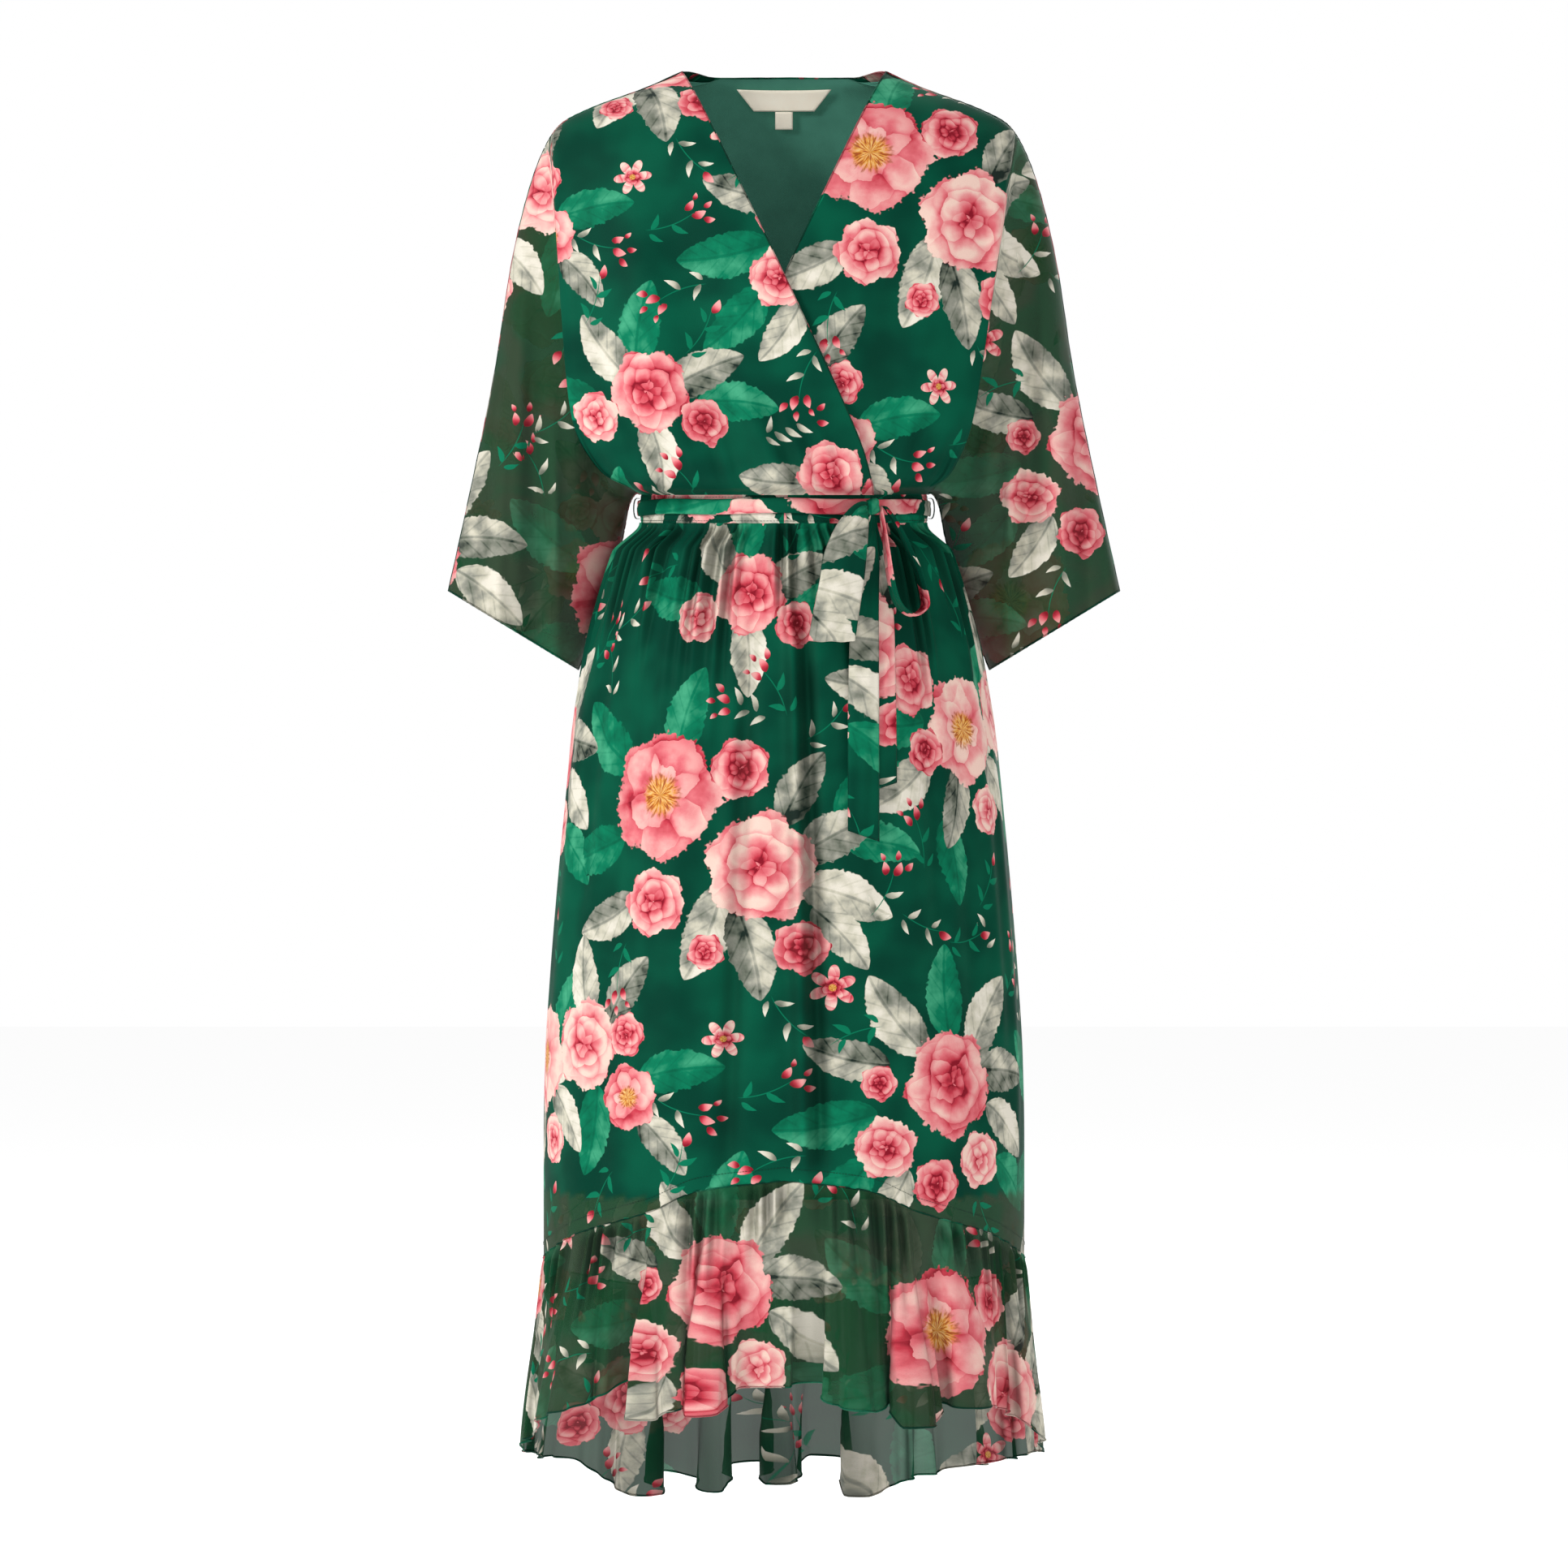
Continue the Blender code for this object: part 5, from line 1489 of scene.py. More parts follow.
def ruffle_half(across, down, face):
    """The front or the back of the ruffle, from the skirt's lower edge to the hem."""
    hem, flutes = HEM[face], FLUTES[face]
    place = 2 * across - 1
    turn = np.radians(90 * place)
    angle = np.abs(90 * place)
    top_z = smooth(hem["angle"], hem["seam"], angle)
    drop = FLUTE_DROP[face] * smooth(flutes["at"], flutes["down"], np.sin(turn))
    hem_z = smooth(hem["angle"], hem["hem"], angle) - drop
    z = top_z + (hem_z - top_z) * down
    ends = 1 - np.abs(place) ** 12
    reach = 0.55 + 0.25 * np.sin(TURN * (4.7 * across + 0.35))
    fade = (0.3 + 0.7 * ease(0.0, 0.07, down)) * (1 - ease(0.08, reach, down))
    fine = gathers(across, RUFFLE_GATHERS, 0.7) * RUFFLE_GATHER_DEPTH * fade
    flute, lean = flute_wave(flutes, across, down)
    bulge = fine * ends + flute
    top_half, top_depth = skirt_size(top_z, face)
    top, here, bottom = (ease(-0.4, 1.1, at) for at in (0.0, down, 1.0))
    spread = (here - top) / (bottom - top)
    half = top_half + (RUFFLE_HALF - top_half) * spread
    depth = top_depth + (RUFFLE_DEPTH - top_depth) * spread
    x, y = oval(turn + lean / half, half, depth, bulge)
    return np.column_stack([x, FACING[face] * y, z])


ruffle_front, ruffle_back = (
    sew_half("ruffle", face, RUFFLE_GRID, ruffle_half, RUFFLE_CUT_WIDTH, lined=RUFFLE_LINED[face])
    for face in FACING
)

# %% [markdown]
# ## The belt and its bow
# The belt is a narrow strip of the same chiffon, sewn into a tube and pressed flat. It goes round the
# waist over the casing, ends in a knot left of the middle, and its ends make a bow: one wide loop
# that hangs flat, one that is seen on its edge, and two tails. Each part is a strip with a little air
# in it, so it is made as a pillow: one surface laid twice, apart in the middle, together at the edges.

# %% Measures of the belt and its bow
SEAM_GAP = 0.0003
BELT_HEIGHT, BELT_WALL, BELT_BELOW_CASING_TOP, BELT_RISE_IN_FRONT = 0.0140, 0.0024, 0.0060, 0.0025
SASH_WALL, SASH_RIDGE, SASH_TOP_Z = 0.0018, 0.0004, -0.425
KNOT_X = 0.080
KNOT_SIZE = (0.0125, 0.0105, 0.0155)
WIDE_LOOP = in_metres(
    drop=(0, 12, 35, 75, 122),
    x=(74.5, 64, 58.5, 50.5, 42.5),
    half=(6, 13, 19, 20, 21),
)
LONG_TAIL = in_metres(
    drop=(1, 30, 100, 200, 290),
    x=(79, 76, 72, 71, 71),
    half=(6, 10, 13, 14, 14.2),
)
SHORT_TAIL = in_metres(
    drop=(1, 30, 100, 180, 246),
    x=(83, 86, 88, 88.5, 89),
    half=(5, 8, 11, 12, 12.2),
)
LONG_TAIL_SLANT, SHORT_TAIL_SLANT = 0.005, -0.004
RIPPLE, CURL = 0.0012, 0.0010
NARROW_LOOP = in_metres(
    x=(89.5, 93, 96.5, 103, 116, 127, 121.5, 112, 104, 91.5),
    drop=(4, 34, 64, 88, 98, 88, 62, 40, 20, 2),
)
NARROW_LOOP_HALF = 0.0130
LOOP_GAP, LOOP_PLEAT = 0.0048, 0.0016
# how far in front of the skirt each strip hangs
LONG_TAIL_OFF, SHORT_TAIL_OFF, WIDE_LOOP_OFF, NARROW_LOOP_OFF = 0.013, 0.008, 0.026, 0.012
# Where the strips leave the knot, and half of their width there: sideways, outwards and up
ROOTS = {
    "short tail": {"at": (0.0018, -0.0026, -0.0088), "half": (0.0036, 0, 0)},
    "long tail": {"at": (-0.0018, 0.0006, -0.0088), "half": (0.0036, 0, 0)},
    "wide loop's front": {"at": (-0.0078, 0.0012, 0), "half": (0, 0, -0.0045)},
    "wide loop's back": {"at": (-0.0078, -0.0004, 0), "half": (0, 0, -0.0045)},
    "narrow loop's start": {"at": (0.0096, 0, 0), "half": (0, -0.0030, 0)},
    "narrow loop's end": {"at": (0.0110, 0, 0.0010), "half": (0, -0.0030, 0)},
}
print("sash ends hang", LONG_TAIL["drop"][-1], "m and", SHORT_TAIL["drop"][-1], "m")

# %% [markdown]
# The strips need a few places to hang from: a point on the belt, the face of the skirt behind them,
# and the knot, which stands on the belt and faces as the waist's oval does there. Each strip is
# drawn hanging freely first, and `from_knot` then gathers its top into its root on the knot.


# %% Places on the waist and the skirt
def belt_point(angle, outset, below):
    """A point of the belt, which rides a little higher at its front and back than at its sides."""
    point = waist_point(angle, outset, BELT_BELOW_CASING_TOP + below)
    point[:, 2] += BELT_RISE_IN_FRONT * np.abs(np.cos(np.radians(angle)))
    return point


def skirt_face(x, z, off):
    """y at (x, z) of a surface that stands `off` in front of the skirt."""
    half, depth = skirt_size(z, "front")
    return -(depth + off) * np.sqrt(1 - np.clip(x / half, -0.98, 0.98) ** 2)


def knot_frame():
    """The knot's middle, and the directions sideways, outwards and up from it."""
    outset = CASING_WALL + BELT_WALL + 2 * SEAM_GAP + KNOT_SIZE[1] / 2
    turn = math.asin(KNOT_X / (WAIST_HALF + outset))
    middle = belt_point(np.array([math.degrees(turn)]), outset, BELT_HEIGHT / 2)[0]
    facing = math.atan2(WAIST_FRONT * math.sin(turn), WAIST_HALF * math.cos(turn))
    sideways = (math.cos(facing), math.sin(facing), 0.0)
    outwards = (math.sin(facing), -math.cos(facing), 0.0)
    return middle, np.array([sideways, outwards, (0.0, 0.0, 1.0)])


def from_knot(root, side, hanging, *weights):
    """Hanging points, drawn to their root on the knot where the weights of x, y and z are 0."""
    middle, directions = knot_frame()
    place = np.array(ROOTS[root]["at"]) + side[:, None] * np.array(ROOTS[root]["half"])
    weight = np.column_stack(weights)
    return hanging * weight + (middle + place @ directions) * (1 - weight)


print("knot at", [round(v, 4) for v in knot_frame()[0]])

# %% [markdown]
# `pillow` makes such a strip from its middle surface. Front and back share the points on the
# border, so the strip is closed all round, and its thickness grows from the border in a round curve.
# Its own soft ridges run lengthways, as a pressed tube of thin cloth has them.


# %% A strip with a little air in it
def pillow(name, columns, rows, surface, wall=SASH_WALL, outward=-1, ridges=SASH_RIDGE, paint=CHIFFON):
    """A closed strip of cloth, `wall` thick in the middle, on the outward side of its surface."""
    across, down = grid(columns, rows)
    base = surface(across, down)
    normal = (moved(surface, 0.001)(across, down) - base) * 1000 * outward
    sides = np.sqrt(np.clip(1 - (2 * across - 1) ** 4, 0, 1))
    ends = np.sqrt(np.clip(np.minimum(down, 1 - down) * rows, 0, 1))
    wave = ridges * np.sin(TURN * (2.3 * across + 1.2 * down)) * sides * ends
    middle = base + normal * (wall / 2 + wave)[:, None]
    air = normal * (wall / 2 * sides * ends)[:, None]
    edge = (np.minimum(across, down) < 1e-9) | (np.maximum(across, down) > 1 - 1e-9)
    partner = np.arange(len(edge))
    partner[~edge] = len(edge) + np.arange((~edge).sum())
    points = np.vstack([middle + air, (middle - air)[~edge]])
    front = grid_faces(columns, rows, flip=outward < 0)
    faces = np.vstack([front, partner[front][:, ::-1]])
    lines = base.reshape(rows + 1, columns + 1, 3)
    fallen = walked(lines[:, columns // 2])
    width = float(np.linalg.norm(np.diff(lines, axis=1), axis=2).sum(axis=1).mean())
    place = np.interp(down, np.linspace(0, 1, rows + 1), fallen)
    start, height = PRINT_AT.get(name, (0.0, 0.0))
    cut = np.column_stack([start + width * across, height - place])
    piece = new_piece(name, points, faces, paint, np.vstack([cut, cut[~edge]]))
    length = float(fallen[-1])
    piece["cut"] = [width, length, width * length]
    print(name, "faces", len(faces), "width", round(width, 4), "length", round(length, 3))
    return piece


print("thickness of a strip:", SASH_WALL, "m")

# %% [markdown]
# The two ends hang down the skirt with a ripple and a little curl. The wide loop goes down in front
# and up again behind. The narrow one follows its table's points round, turned on its edge.


# %% Ends and loops of the sash
def tail_surface(table, root, off, slant):
    """A sash end that hangs down the skirt from under the knot."""
    start_z = knot_frame()[0][2] - KNOT_SIZE[2] / 2

    def surface(across, down):
        drop = table["drop"][0] + (table["drop"][-1] - table["drop"][0]) * down**1.4
        side = 2 * across - 1
        x = smooth(table["drop"], table["x"], drop) + side * smooth(table["drop"], table["half"], drop)
        z = start_z - drop - side * slant * down**4
        ripple = RIPPLE * np.sin(TURN * (1.5 * down + 0.3 * across))
        curl = CURL * side**2 * np.sin(TURN * (0.8 * down + 0.1)) * ease(0.1, 0.4, down)
        y = skirt_face(x, z, off) - ripple - curl
        weights = ease(0.0, 0.050, drop), ease(0.0, 0.025, drop), ease(0.0, 0.1, down)
        return from_knot(root, side, np.column_stack([x, y, z]), *weights)

    return surface


def wide_loop_surface(off):
    """The flat loop of the bow: down in front, round a soft fold and up behind."""
    start_z = knot_frame()[0][2]
    drop_end = WIDE_LOOP["drop"][-1]

    def surface(across, down):
        side = 2 * across - 1
        leaf = 1 - np.abs(2 * down - 1)
        drop = drop_end * np.sin(np.pi / 2 * np.clip(leaf * 1.04, 0, 1)) ** 0.9
        apart = np.cos(np.pi * np.clip((down - 0.42) / 0.16, 0, 1))
        gap = LOOP_GAP * (1 - 0.35 * ease(0.0, 0.7, leaf))
        half = smooth(WIDE_LOOP["drop"], WIDE_LOOP["half"], drop)
        x = smooth(WIDE_LOOP["drop"], WIDE_LOOP["x"], drop) + side * half
        z = start_z - drop
        pleat = LOOP_PLEAT * ridge(side - 0.25, 0.3) * (1 - ease(0.1, 0.8, leaf)) * ease(0.0, 0.1, leaf)
        y = skirt_face(x, np.minimum(z, SASH_TOP_Z), off) - apart * (gap + pleat)
        hanging = np.column_stack([x, y, z])
        weights = ease(0.0, 0.30, leaf), ease(0.0, 0.24, leaf), ease(0.05, 0.35, leaf)
        front = from_knot("wide loop's front", side, hanging, *weights)
        back = from_knot("wide loop's back", side, hanging, *weights)
        return np.where((down < 0.5)[:, None], front, back)

    return surface


def narrow_loop_surface(off):
    """The loop of the bow that is seen on its edge."""
    start_z = knot_frame()[0][2]
    marks = np.linspace(0, 1, len(NARROW_LOOP["x"]))

    def surface(across, down):
        side = 2 * across - 1
        half = NARROW_LOOP_HALF * (0.35 + 0.65 * np.sin(np.pi * down) ** 0.6)
        x = smooth(marks, NARROW_LOOP["x"], down) - side * 0.30 * half
        z = start_z - smooth(marks, NARROW_LOOP["drop"], down)
        y = skirt_face(x, np.minimum(z, SASH_TOP_Z), off) - NARROW_LOOP_HALF + side * half
        hanging = np.column_stack([x, y, z])
        leave, arrive = ease(0.0, 0.2, down), ease(0.0, 0.2, 1 - down)
        start = from_knot("narrow loop's start", side, hanging, leave, leave, leave)
        end = from_knot("narrow loop's end", side, hanging, arrive, arrive, arrive)
        return np.where((down < 0.5)[:, None], start, end)

    return surface


print("places on the knot where strips start:", len(ROOTS))

# %% [markdown]
# The belt's own section is a flat oval with a crease pressed into its front. The knot is a rounded
# block whose skin shows three strands crossing it, the way a knot of thin cloth is built up.


# %% Tie the belt
KNOT_ANGLE = 36.0
BELT_CREASE, BELT_SWAY = 0.0005, 0.0006
BELT_CUT, KNOT_CUT = (0.74, 0.034), (0.045, 0.022)
BELT_GRID, KNOT_GRID = (300, 20), (56, 36)


def rounded(wave, power):
    """A sine or cosine with a broader top: round a section with it and it gets flatter sides."""
    return np.sign(wave) * np.abs(wave) ** power


def belt_surface(across, down):
    """Round the waist from behind the knot; down runs round the flat oval section."""
    turn = TURN * down
    flat, thick = rounded(np.cos(turn), 0.75), rounded(np.sin(turn), 0.75)
    crease = BELT_CREASE * ridge(flat - 0.15 - 0.3 * np.sin(4 * np.pi * across), 0.16) * (thick > 0)
    sway = BELT_SWAY * np.sin(TURN * 7.3 * across + 1.5)
    out = CASING_WALL + SEAM_GAP + BELT_WALL / 2 * (1 + thick) - crease
    angle = KNOT_ANGLE + 360 * across
    point = belt_point(angle, 0.0, BELT_HEIGHT / 2 * (1 - flat) + sway)
    point[:, :2] = waist_point(angle, out, 0.0)[:, :2]
    return point


def tie_knot(name):
    """A rounded block with three strands on its skin, closed at its two poles."""
    across, down = grid(*KNOT_GRID)
    turn, fall = TURN * across, np.pi * down
    ball = (np.sin(fall) * np.cos(turn), np.sin(fall) * np.sin(turn), np.cos(fall))
    block = np.column_stack([rounded(c, 0.72) for c in ball])
    strands = np.cos(3.0 * (block[:, 2] * 1.6 + block[:, 0] * 0.9))
    skin = 0.5 + 0.035 * strands - 0.02 * (1 - np.abs(strands)) ** 4
    middle, directions = knot_frame()
    points = middle + (block * skin[:, None] * np.array(KNOT_SIZE)) @ directions
    cut = np.column_stack(level_cut(KNOT_CUT, PRINT_AT[name])(points, across, down))
    piece = new_piece(name, points, grid_faces(*KNOT_GRID, flip=True), CHIFFON, cut)
    form = bmesh.new()
    form.from_mesh(piece.data)
    bmesh.ops.remove_doubles(form, verts=form.verts, dist=1e-6)
    form.to_mesh(piece.data)
    form.free()
    return piece


belt_cut = level_cut(BELT_CUT, PRINT_AT["belt_band_cloth"])
belt = lay("belt_band_cloth", *BELT_GRID, belt_surface, belt_cut, flip=True)
knot = tie_knot("belt_knot_cloth")
long_tail = tail_surface(LONG_TAIL, "long tail", LONG_TAIL_OFF, LONG_TAIL_SLANT)
long_tail = pillow("belt_tail_long_cloth", 18, 90, long_tail)
short_tail = tail_surface(SHORT_TAIL, "short tail", SHORT_TAIL_OFF, SHORT_TAIL_SLANT)
short_tail = pillow("belt_tail_short_cloth", 18, 80, short_tail)
loop_wide = pillow("bow_loop_wide_cloth", 24, 100, wide_loop_surface(WIDE_LOOP_OFF))
loop_narrow = pillow("bow_loop_narrow_cloth", 16, 90, narrow_loop_surface(NARROW_LOOP_OFF), outward=1)

# %% [markdown]
# ## Label and size tab
# A woven label lies flat on the lining under the back neck, and a small tab hangs from its lower
# edge. Both are plain here. They follow the lining's own curve.

# %% Label and size tab
WALL, LABEL_WALL, LABEL_SET_IN = 0.0012, 0.0008, 0.0028
LABEL = {"top_half": 0.0445, "bottom_half": 0.0285, "height": 0.0186, "below": 0.0120}
TAB = {"top_half": 0.0083, "bottom_half": 0.0083, "height": 0.0160, "below": 0.0309}


def label_surface(size):
    """A flat piece on the back lining, with the wall and the lining between it and the back."""

    def surface(across, down):
        half = size["top_half"] + (size["bottom_half"] - size["top_half"]) * down
        x = (2 * across - 1) * half
        z = BACK_NECK_RISE - size["below"] - size["height"] * down
        step = 1e-3
        depth = torso_depth(x, z, "back")
        slope_x = (torso_depth(x + step, z, "back") - depth) / step
        slope_z = (torso_depth(x, z + step, "back") - depth) / step
        inward = (LINING_SET_IN + LABEL_SET_IN) * np.sqrt(1 + slope_x**2 + slope_z**2)
        return np.column_stack([x, depth - WALL - inward, z])

    return surface


RIBBON_MAKE = {"wall": LABEL_WALL, "ridges": 0, "paint": RIBBON}
label = pillow("neck_label_ribbon", 40, 12, label_surface(LABEL), **RIBBON_MAKE)
tab = pillow("size_tab_ribbon", 12, 12, label_surface(TAB), **RIBBON_MAKE)

# %% [markdown]
# ## Hems and seams
# Thin cloth is hemmed by rolling its edge, which leaves a cord about a millimetre and a half thick.
# It looks darker than the cloth, because there the light has to pass several layers. The same
# function closes the seams: a roll laid along an edge of the panel's grid, carrying its own print.


# %% Roll the hems
ROLL_SIDES, ROLL_PRINT = 8, 0.004
HEM_RADIUS, EDGE_RADIUS, SEAM_RADIUS = 0.0009, 0.0007, 0.0010
EDGES = {
    "top": (0, slice(None)),
    "bottom": (-1, slice(None)),
    "first": (slice(None), 0),
    "last": (slice(None), -1),
}
NECK = (0.43, 0.57)
hems = {}


def roll_edge(panel, name, side, radius, seed=0.0, stretch=(0.0, 1.0), inwards=0.0):
    """A tube with an uneven radius along a stretch of a panel's edge, printed as the cloth there."""
    points, cut = (values[EDGES[side]] for values in laid[panel.name])
    low, high = (int(round(share * (len(points) - 1))) for share in stretch)
    points, cut = points[low : high + 1] - [0, inwards, 0], cut[low : high + 1]
    run = np.gradient(points, axis=0)
    run /= np.linalg.norm(run, axis=1)[:, None] + 1e-12
    upward = np.where(np.abs(run[:, 2:3]) > 0.9, [[1.0, 0.0, 0.0]], [[0.0, 0.0, 1.0]])
    first = np.cross(run, upward)
    first /= np.linalg.norm(first, axis=1)[:, None]
    second = np.cross(run, first)
    place = np.linspace(0, 1, len(points))
    swell = 1 + 0.12 * np.sin(TURN * (31 * place + seed)) + 0.08 * np.sin(TURN * 57 * place)
    turns = TURN * np.arange(ROLL_SIDES + 1) / ROLL_SIDES
    ring = first[:, None] * np.cos(turns)[None, :, None] + second[:, None] * np.sin(turns)[None, :, None]
    shell = points[:, None] + ring * (radius * swell)[:, None, None]
    spread = np.column_stack([np.zeros(ROLL_SIDES + 1), np.linspace(0, ROLL_PRINT, ROLL_SIDES + 1)])
    flat = (cut[:, None] + spread[None]).reshape(-1, 2)
    faces = grid_faces(ROLL_SIDES, len(points) - 1, flip=True)
    hem = new_piece(name, shell.reshape(-1, 3), faces, HEM_CHIFFON, flat)
    hems.setdefault(panel.name, []).append(hem)


for side, panel in (("right", front_right), ("left", front_left)):
    roll_edge(panel, f"front_{side}_cuff_hem", "last", HEM_RADIUS)
    roll_edge(panel, f"front_{side}_neck_edge", "first", EDGE_RADIUS, 0.3)
roll_edge(back, "back_cuff_hem_right", "first", HEM_RADIUS, 0.6)
roll_edge(back, "back_cuff_hem_left", "last", HEM_RADIUS, 0.6)
roll_edge(back, "back_neck_edge", "top", EDGE_RADIUS, stretch=NECK)
for seam, edge, (right_end, left_start) in (("overarm", "top", NECK), ("underarm", "bottom", (0.28, 0.72))):
    for side, stretch in (("right", (0.0, right_end)), ("left", (left_start, 1.0))):
        roll_edge(back, f"{seam}_seam_{side}", edge, SEAM_RADIUS, stretch=stretch, inwards=CLOTH_OUT)
for part, panel in (("ruffle_front", ruffle_front), ("ruffle_back", ruffle_back)):
    roll_edge(panel, part + "_hem", "bottom", HEM_RADIUS, 0.2)
    roll_edge(panel, part + "_seam", "top", EDGE_RADIUS, 0.8)
print("rolled edges:", {name: len(rolls) for name, rolls in hems.items()})

# %% [markdown]
# ## Stitches
# A stitch repeats, so one small node tree makes them all. It walks along a line, drops a short
# thread at every pitch, lays it along the line, varies its length a little from a fixed seed, and
# turns the copies into real mesh.

# %% A row of stitches
STITCH_INPUTS = {
    "Geometry": "Geometry",
    "Pitch": "Float",
    "Stitch Length": "Float",
    "Thread Radius": "Float",
    "Seed": "Int",
    "Material": "Material",
}
LEAST_SWAY, MOST_SWAY = (0.8, 0.8, 0.85), (1.2, 1.2, 1.1)


def stitch_tree():
    tree = bpy.data.node_groups.new("stitch_row", "GeometryNodeTree")
    for name, kind in STITCH_INPUTS.items():
        tree.interface.new_socket(name, in_out="INPUT", socket_type="NodeSocket" + kind)
    tree.interface.new_socket("Geometry", in_out="OUTPUT", socket_type="NodeSocketGeometry")

    def node(kind, sockets=None, **settings):
        made = tree.nodes.new(kind)
        for name, value in settings.items():
            setattr(made, name, value)
        for name, value in (sockets or {}).items():
            if isinstance(value, bpy.types.NodeSocket):
                tree.links.new(value, made.inputs[name])
            else:
                made.inputs[name].default_value = value
        return made

    given = node("NodeGroupInput").outputs
    line = node("GeometryNodeMeshToCurve", {"Mesh": given["Geometry"]})
    pitches = {"Curve": line.outputs[0], "Length": given["Pitch"]}
    resample = node("GeometryNodeResampleCurve", pitches, mode="LENGTH")
    thread = node(
        "GeometryNodeMeshCylinder",
        {"Vertices": 6, "Radius": given["Thread Radius"], "Depth": given["Stitch Length"]},
        fill_type="TRIANGLE_FAN",
    )
    tangent = node("GeometryNodeInputTangent").outputs[0]
    along_line = node("FunctionNodeAlignRotationToVector", {"Vector": tangent}, axis="Z")
    sway = node("FunctionNodeRandomValue", {"Seed": given["Seed"]}, data_type="FLOAT_VECTOR")
    sway.inputs["Min"].default_value, sway.inputs["Max"].default_value = LEAST_SWAY, MOST_SWAY
    copies = node(
        "GeometryNodeInstanceOnPoints",
        {
            "Points": resample.outputs[0],
            "Instance": thread.outputs["Mesh"],
            "Rotation": along_line.outputs[0],
            "Scale": sway.outputs[0],
        },
    )
    real = node("GeometryNodeRealizeInstances", {"Geometry": copies.outputs[0]})
    painted = node("GeometryNodeSetMaterial", {"Geometry": real.outputs[0], "Material": given["Material"]})
    tree.links.new(painted.outputs[0], node("NodeGroupOutput").inputs[0])
    return tree


STITCH = stitch_tree()
print("nodes in a row of stitches:", len(STITCH.nodes))

# %% [markdown]
# The tree is a modifier of a guide, a mesh of bare edges. Its inputs are set by their identifiers,
# the evaluated result is copied into a plain mesh, and the guide is thrown away.


# %% Run the tree along lines
def run_tree(name, tree, lines, values):
    """Run a node tree along lines of points and keep the result as a plain mesh."""
    points = np.vstack(lines)
    mesh = bpy.data.meshes.new(name + "_lines")
    edges, first = [], 0
    for line in lines:
        edges += [(first + i, first + i + 1) for i in range(len(line) - 1)]
        first += len(line)
    mesh.from_pydata(points.tolist(), edges, [])
    guide = bpy.data.objects.new(name + "_lines", mesh)
    bpy.context.scene.collection.objects.link(guide)
    modifier = guide.modifiers.new("stitches", "NODES")
    modifier.node_group = tree
    for item in tree.interface.items_tree:
        if item.in_out == "INPUT" and item.name in values:
            modifier[item.identifier] = values[item.name]
    guide.update_tag()
    depsgraph = bpy.context.evaluated_depsgraph_get()
    result = bpy.data.meshes.new_from_object(guide.evaluated_get(depsgraph), depsgraph=depsgraph)
    guide.modifiers.remove(modifier)
    bpy.data.objects.remove(guide)
    result.name = name
    result.shade_smooth()
    print(name, "faces", len(result.polygons))
    return keep(name, result)


def stitches(name, lines, pitch, length, radius, paint=THREAD):
    values = {
        "Pitch": pitch,
        "Stitch Length": length,
        "Thread Radius": radius,
        "Seed": len(made),
        "Material": paint,
    }
    return run_tree(name, STITCH, lines, values)


print("pieces before the stitches:", len(made))

# %% [markdown]
# Rows of stitches run where a sewing machine would put them: beside the ruffle's seam, round the
# casing in the lines of its elastic, and round the label.


# %% Sew the visible rows
CASING_ROW_SHARES, RUFFLE_ROW_SHARE = (0.12, 0.38, 0.62, 0.88), 0.985
# pitch, length of a stitch and radius of its thread
CASING_STITCH = (0.0030, 0.0022, 0.00018)
RUFFLE_STITCH = (0.0028, 0.0020, 0.00018)
LABEL_STITCH = (0.0020, 0.0014, 0.00014)


def row_of(panel, share, lift):
    """A line across a panel at a share of its rows, lifted off the cloth."""
    points, _ = laid[panel.name]
    rows = len(points) - 1
    row = int(round(share * rows))
    normal = np.cross(np.gradient(points[row], axis=0), points[min(row + 1, rows)] - points[max(row - 1, 0)])
    normal /= np.linalg.norm(normal, axis=1)[:, None] + 1e-12
    outward = points[row] * [1, 1, 0]
    normal *= np.sign((normal * outward).sum(axis=1))[:, None]
    return points[row] + normal * lift


def label_rows(surface, inset):
    """A line of stitches round a label, a little inside its edge."""
    steps = np.linspace(inset, 1 - inset, 60)
    low, high = np.full_like(steps, inset), np.full_like(steps, 1 - inset)
    across = np.concatenate([steps, high, steps[::-1], low])
    down = np.concatenate([low, steps, high, steps[::-1]])
    return surface(across, down) - [0, LABEL_WALL + 0.0002, 0]


casing_lines = [row_of(casing, share, 0.0003) for share in CASING_ROW_SHARES]
casing_rows = stitches("casing_stitches", casing_lines, *CASING_STITCH)
ruffle_lines = [row_of(panel, RUFFLE_ROW_SHARE, 0.0004) for panel in (skirt_front, skirt_back)]
ruffle_rows = stitches("ruffle_seam_stitches", ruffle_lines, *RUFFLE_STITCH)
label_lines = [label_rows(label_surface(LABEL), 0.05)]
label_stitches = stitches("label_stitches", label_lines, *LABEL_STITCH, paint=RIBBON)

# %% [markdown]
# ## Thread carriers
# At each side seam a fine loop of chained thread holds the belt. It is drawn as a plait: three
# strands wind round one line, and each is a row of the stitches from above, set so close together
# that they overlap. One tree serves both, because its sizes are inputs.


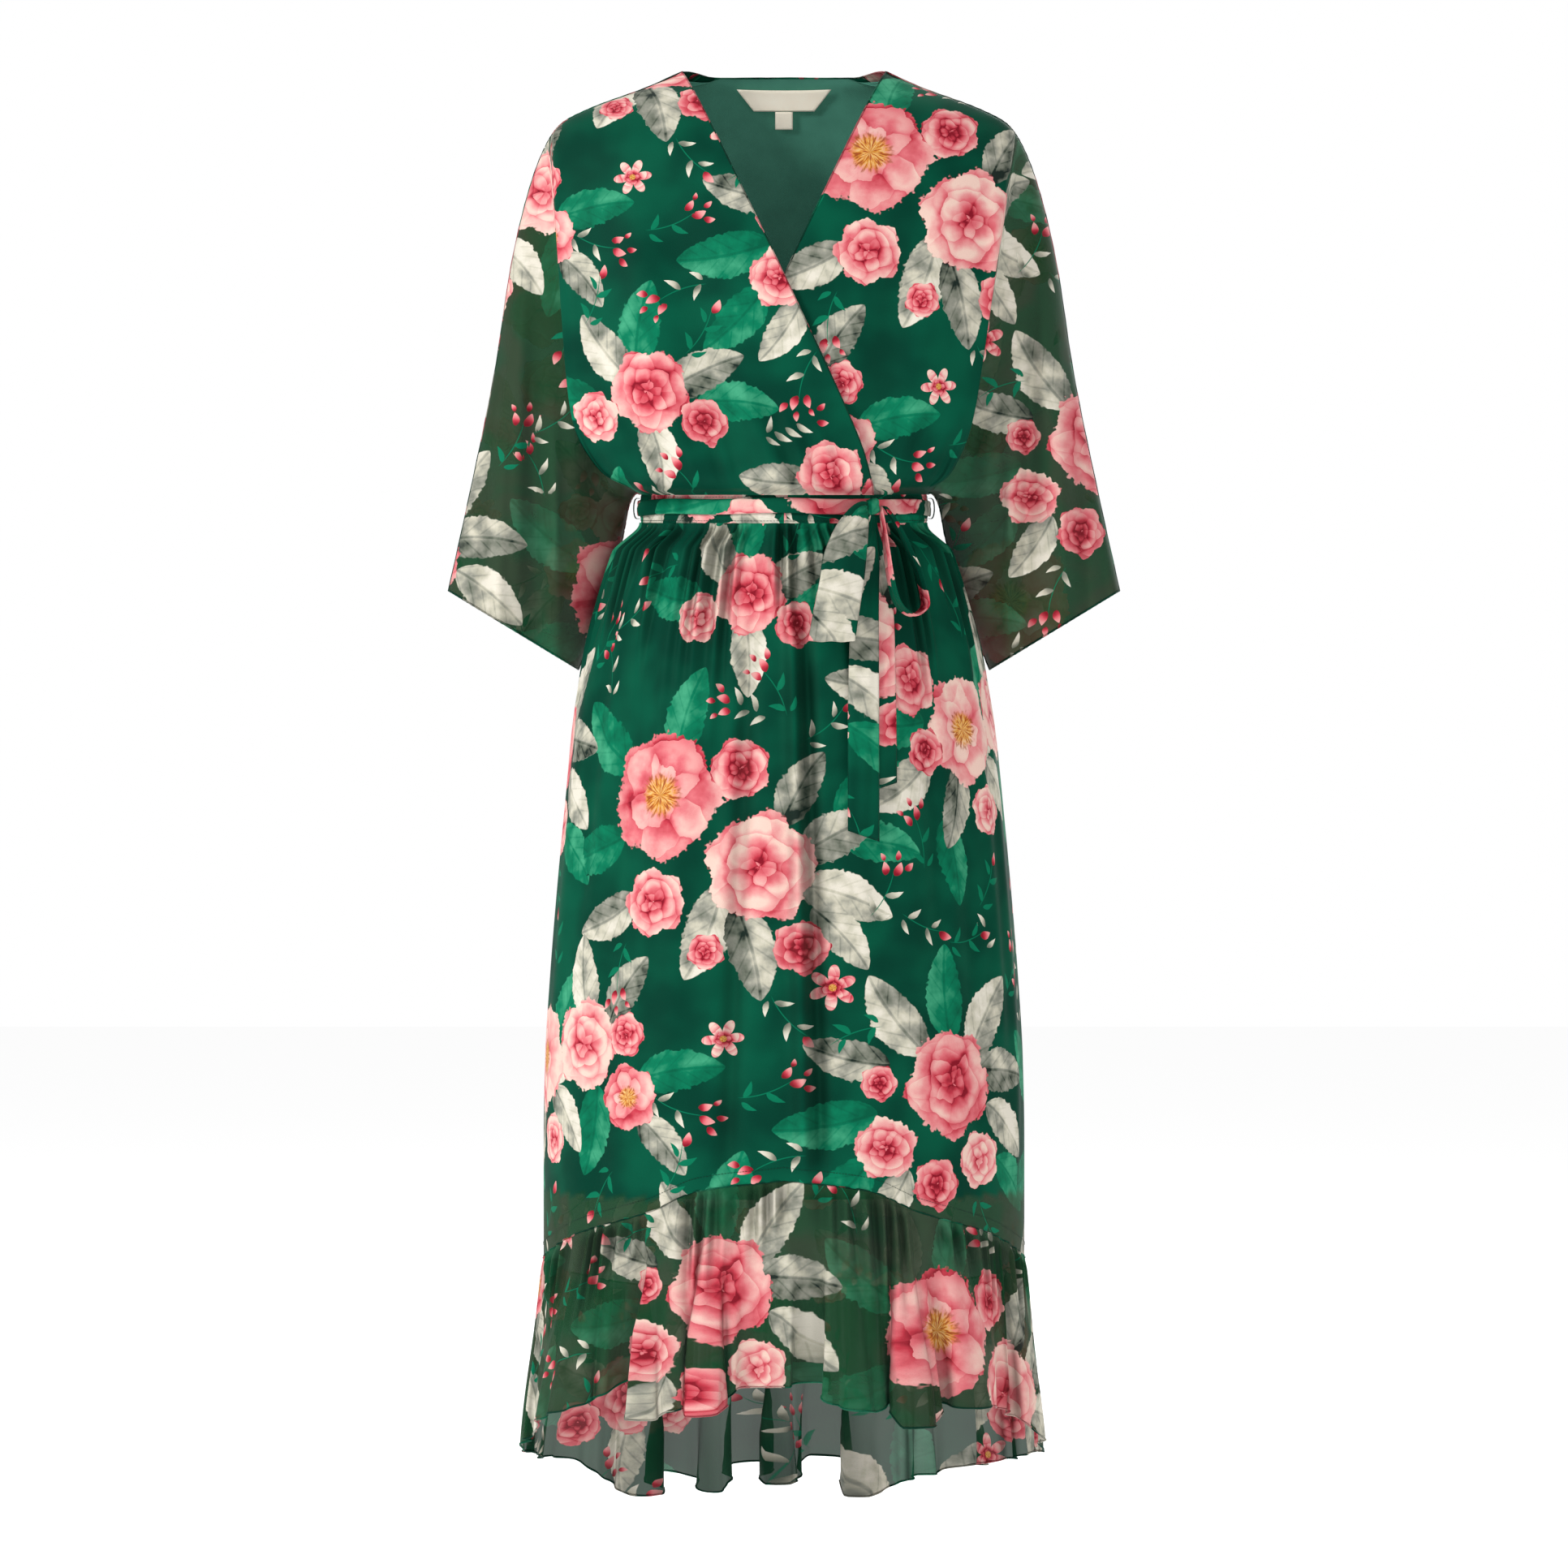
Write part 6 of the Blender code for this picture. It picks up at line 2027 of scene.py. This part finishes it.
# %% Chain the carriers
CARRIER_RADIUS, CARRIER_SLACK, CARRIER_POINTS = 0.0006, 0.0024, 41
STRANDS, PLAIT_TURNS, PLAIT_RADIUS = 3, 14, 0.00034
CHAIN_STITCH = (0.0009, 0.0014, 0.00024)


def carrier_line(side):
    """The middle of a carrier, from over the belt to under it; side is -1 or 1."""
    turns = np.linspace(0, np.pi, CARRIER_POINTS)
    over_belt = (BELT_WALL + CARRIER_SLACK) * np.sin(turns) ** 0.5
    out = CASING_WALL + CARRIER_RADIUS + SEAM_GAP + over_belt
    below = BELT_HEIGHT / 2 - (BELT_HEIGHT / 2 + CARRIER_SLACK) * np.cos(turns)
    point = belt_point(np.full(CARRIER_POINTS, side * 90.0), 0.0, below)
    point[:, 0] = side * (WAIST_HALF + out)
    return point


def plait(line, strand):
    """One strand of a plait round a line."""
    place = np.linspace(0, 1, len(line) * 6)
    fine = np.column_stack([np.interp(place, np.linspace(0, 1, len(line)), line[:, i]) for i in range(3)])
    phase = TURN * (PLAIT_TURNS * place + strand / STRANDS)
    fine[:, 1] += PLAIT_RADIUS * np.cos(phase)
    fine[:, 0] += PLAIT_RADIUS * np.sin(phase) * np.sign(line[:, 0].mean())
    return fine


for side, name in ((-1, "right"), (1, "left")):
    lines = [plait(carrier_line(side), strand) for strand in range(STRANDS)]
    stitches(f"belt_carrier_{name}_thread", lines, *CHAIN_STITCH)

# %% [markdown]
# ## What the pieces keep
# Each piece of cloth keeps the flat size it was cut to, stored on it when it was laid, and the
# rolled hems are listed by the panel that they are sewn to.

# %% [markdown]
# ## Does the dress still fit its box?
# Cloth pieces may stand a little proud of their solids, but the dress as a whole should keep the
# size of its solid model. Both boxes are written down, so the difference can be looked up.

# %% Print the two boxes
dress_box = [list(corner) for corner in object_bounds()]
for name, box in (("solids", cad_box), ("dress", dress_box)):
    print(f"box of the {name}:", [[round(v, 4) for v in corner] for corner in box])
print("triangles:", sum(len(p.vertices) - 2 for piece in made.values() for p in piece.data.polygons))
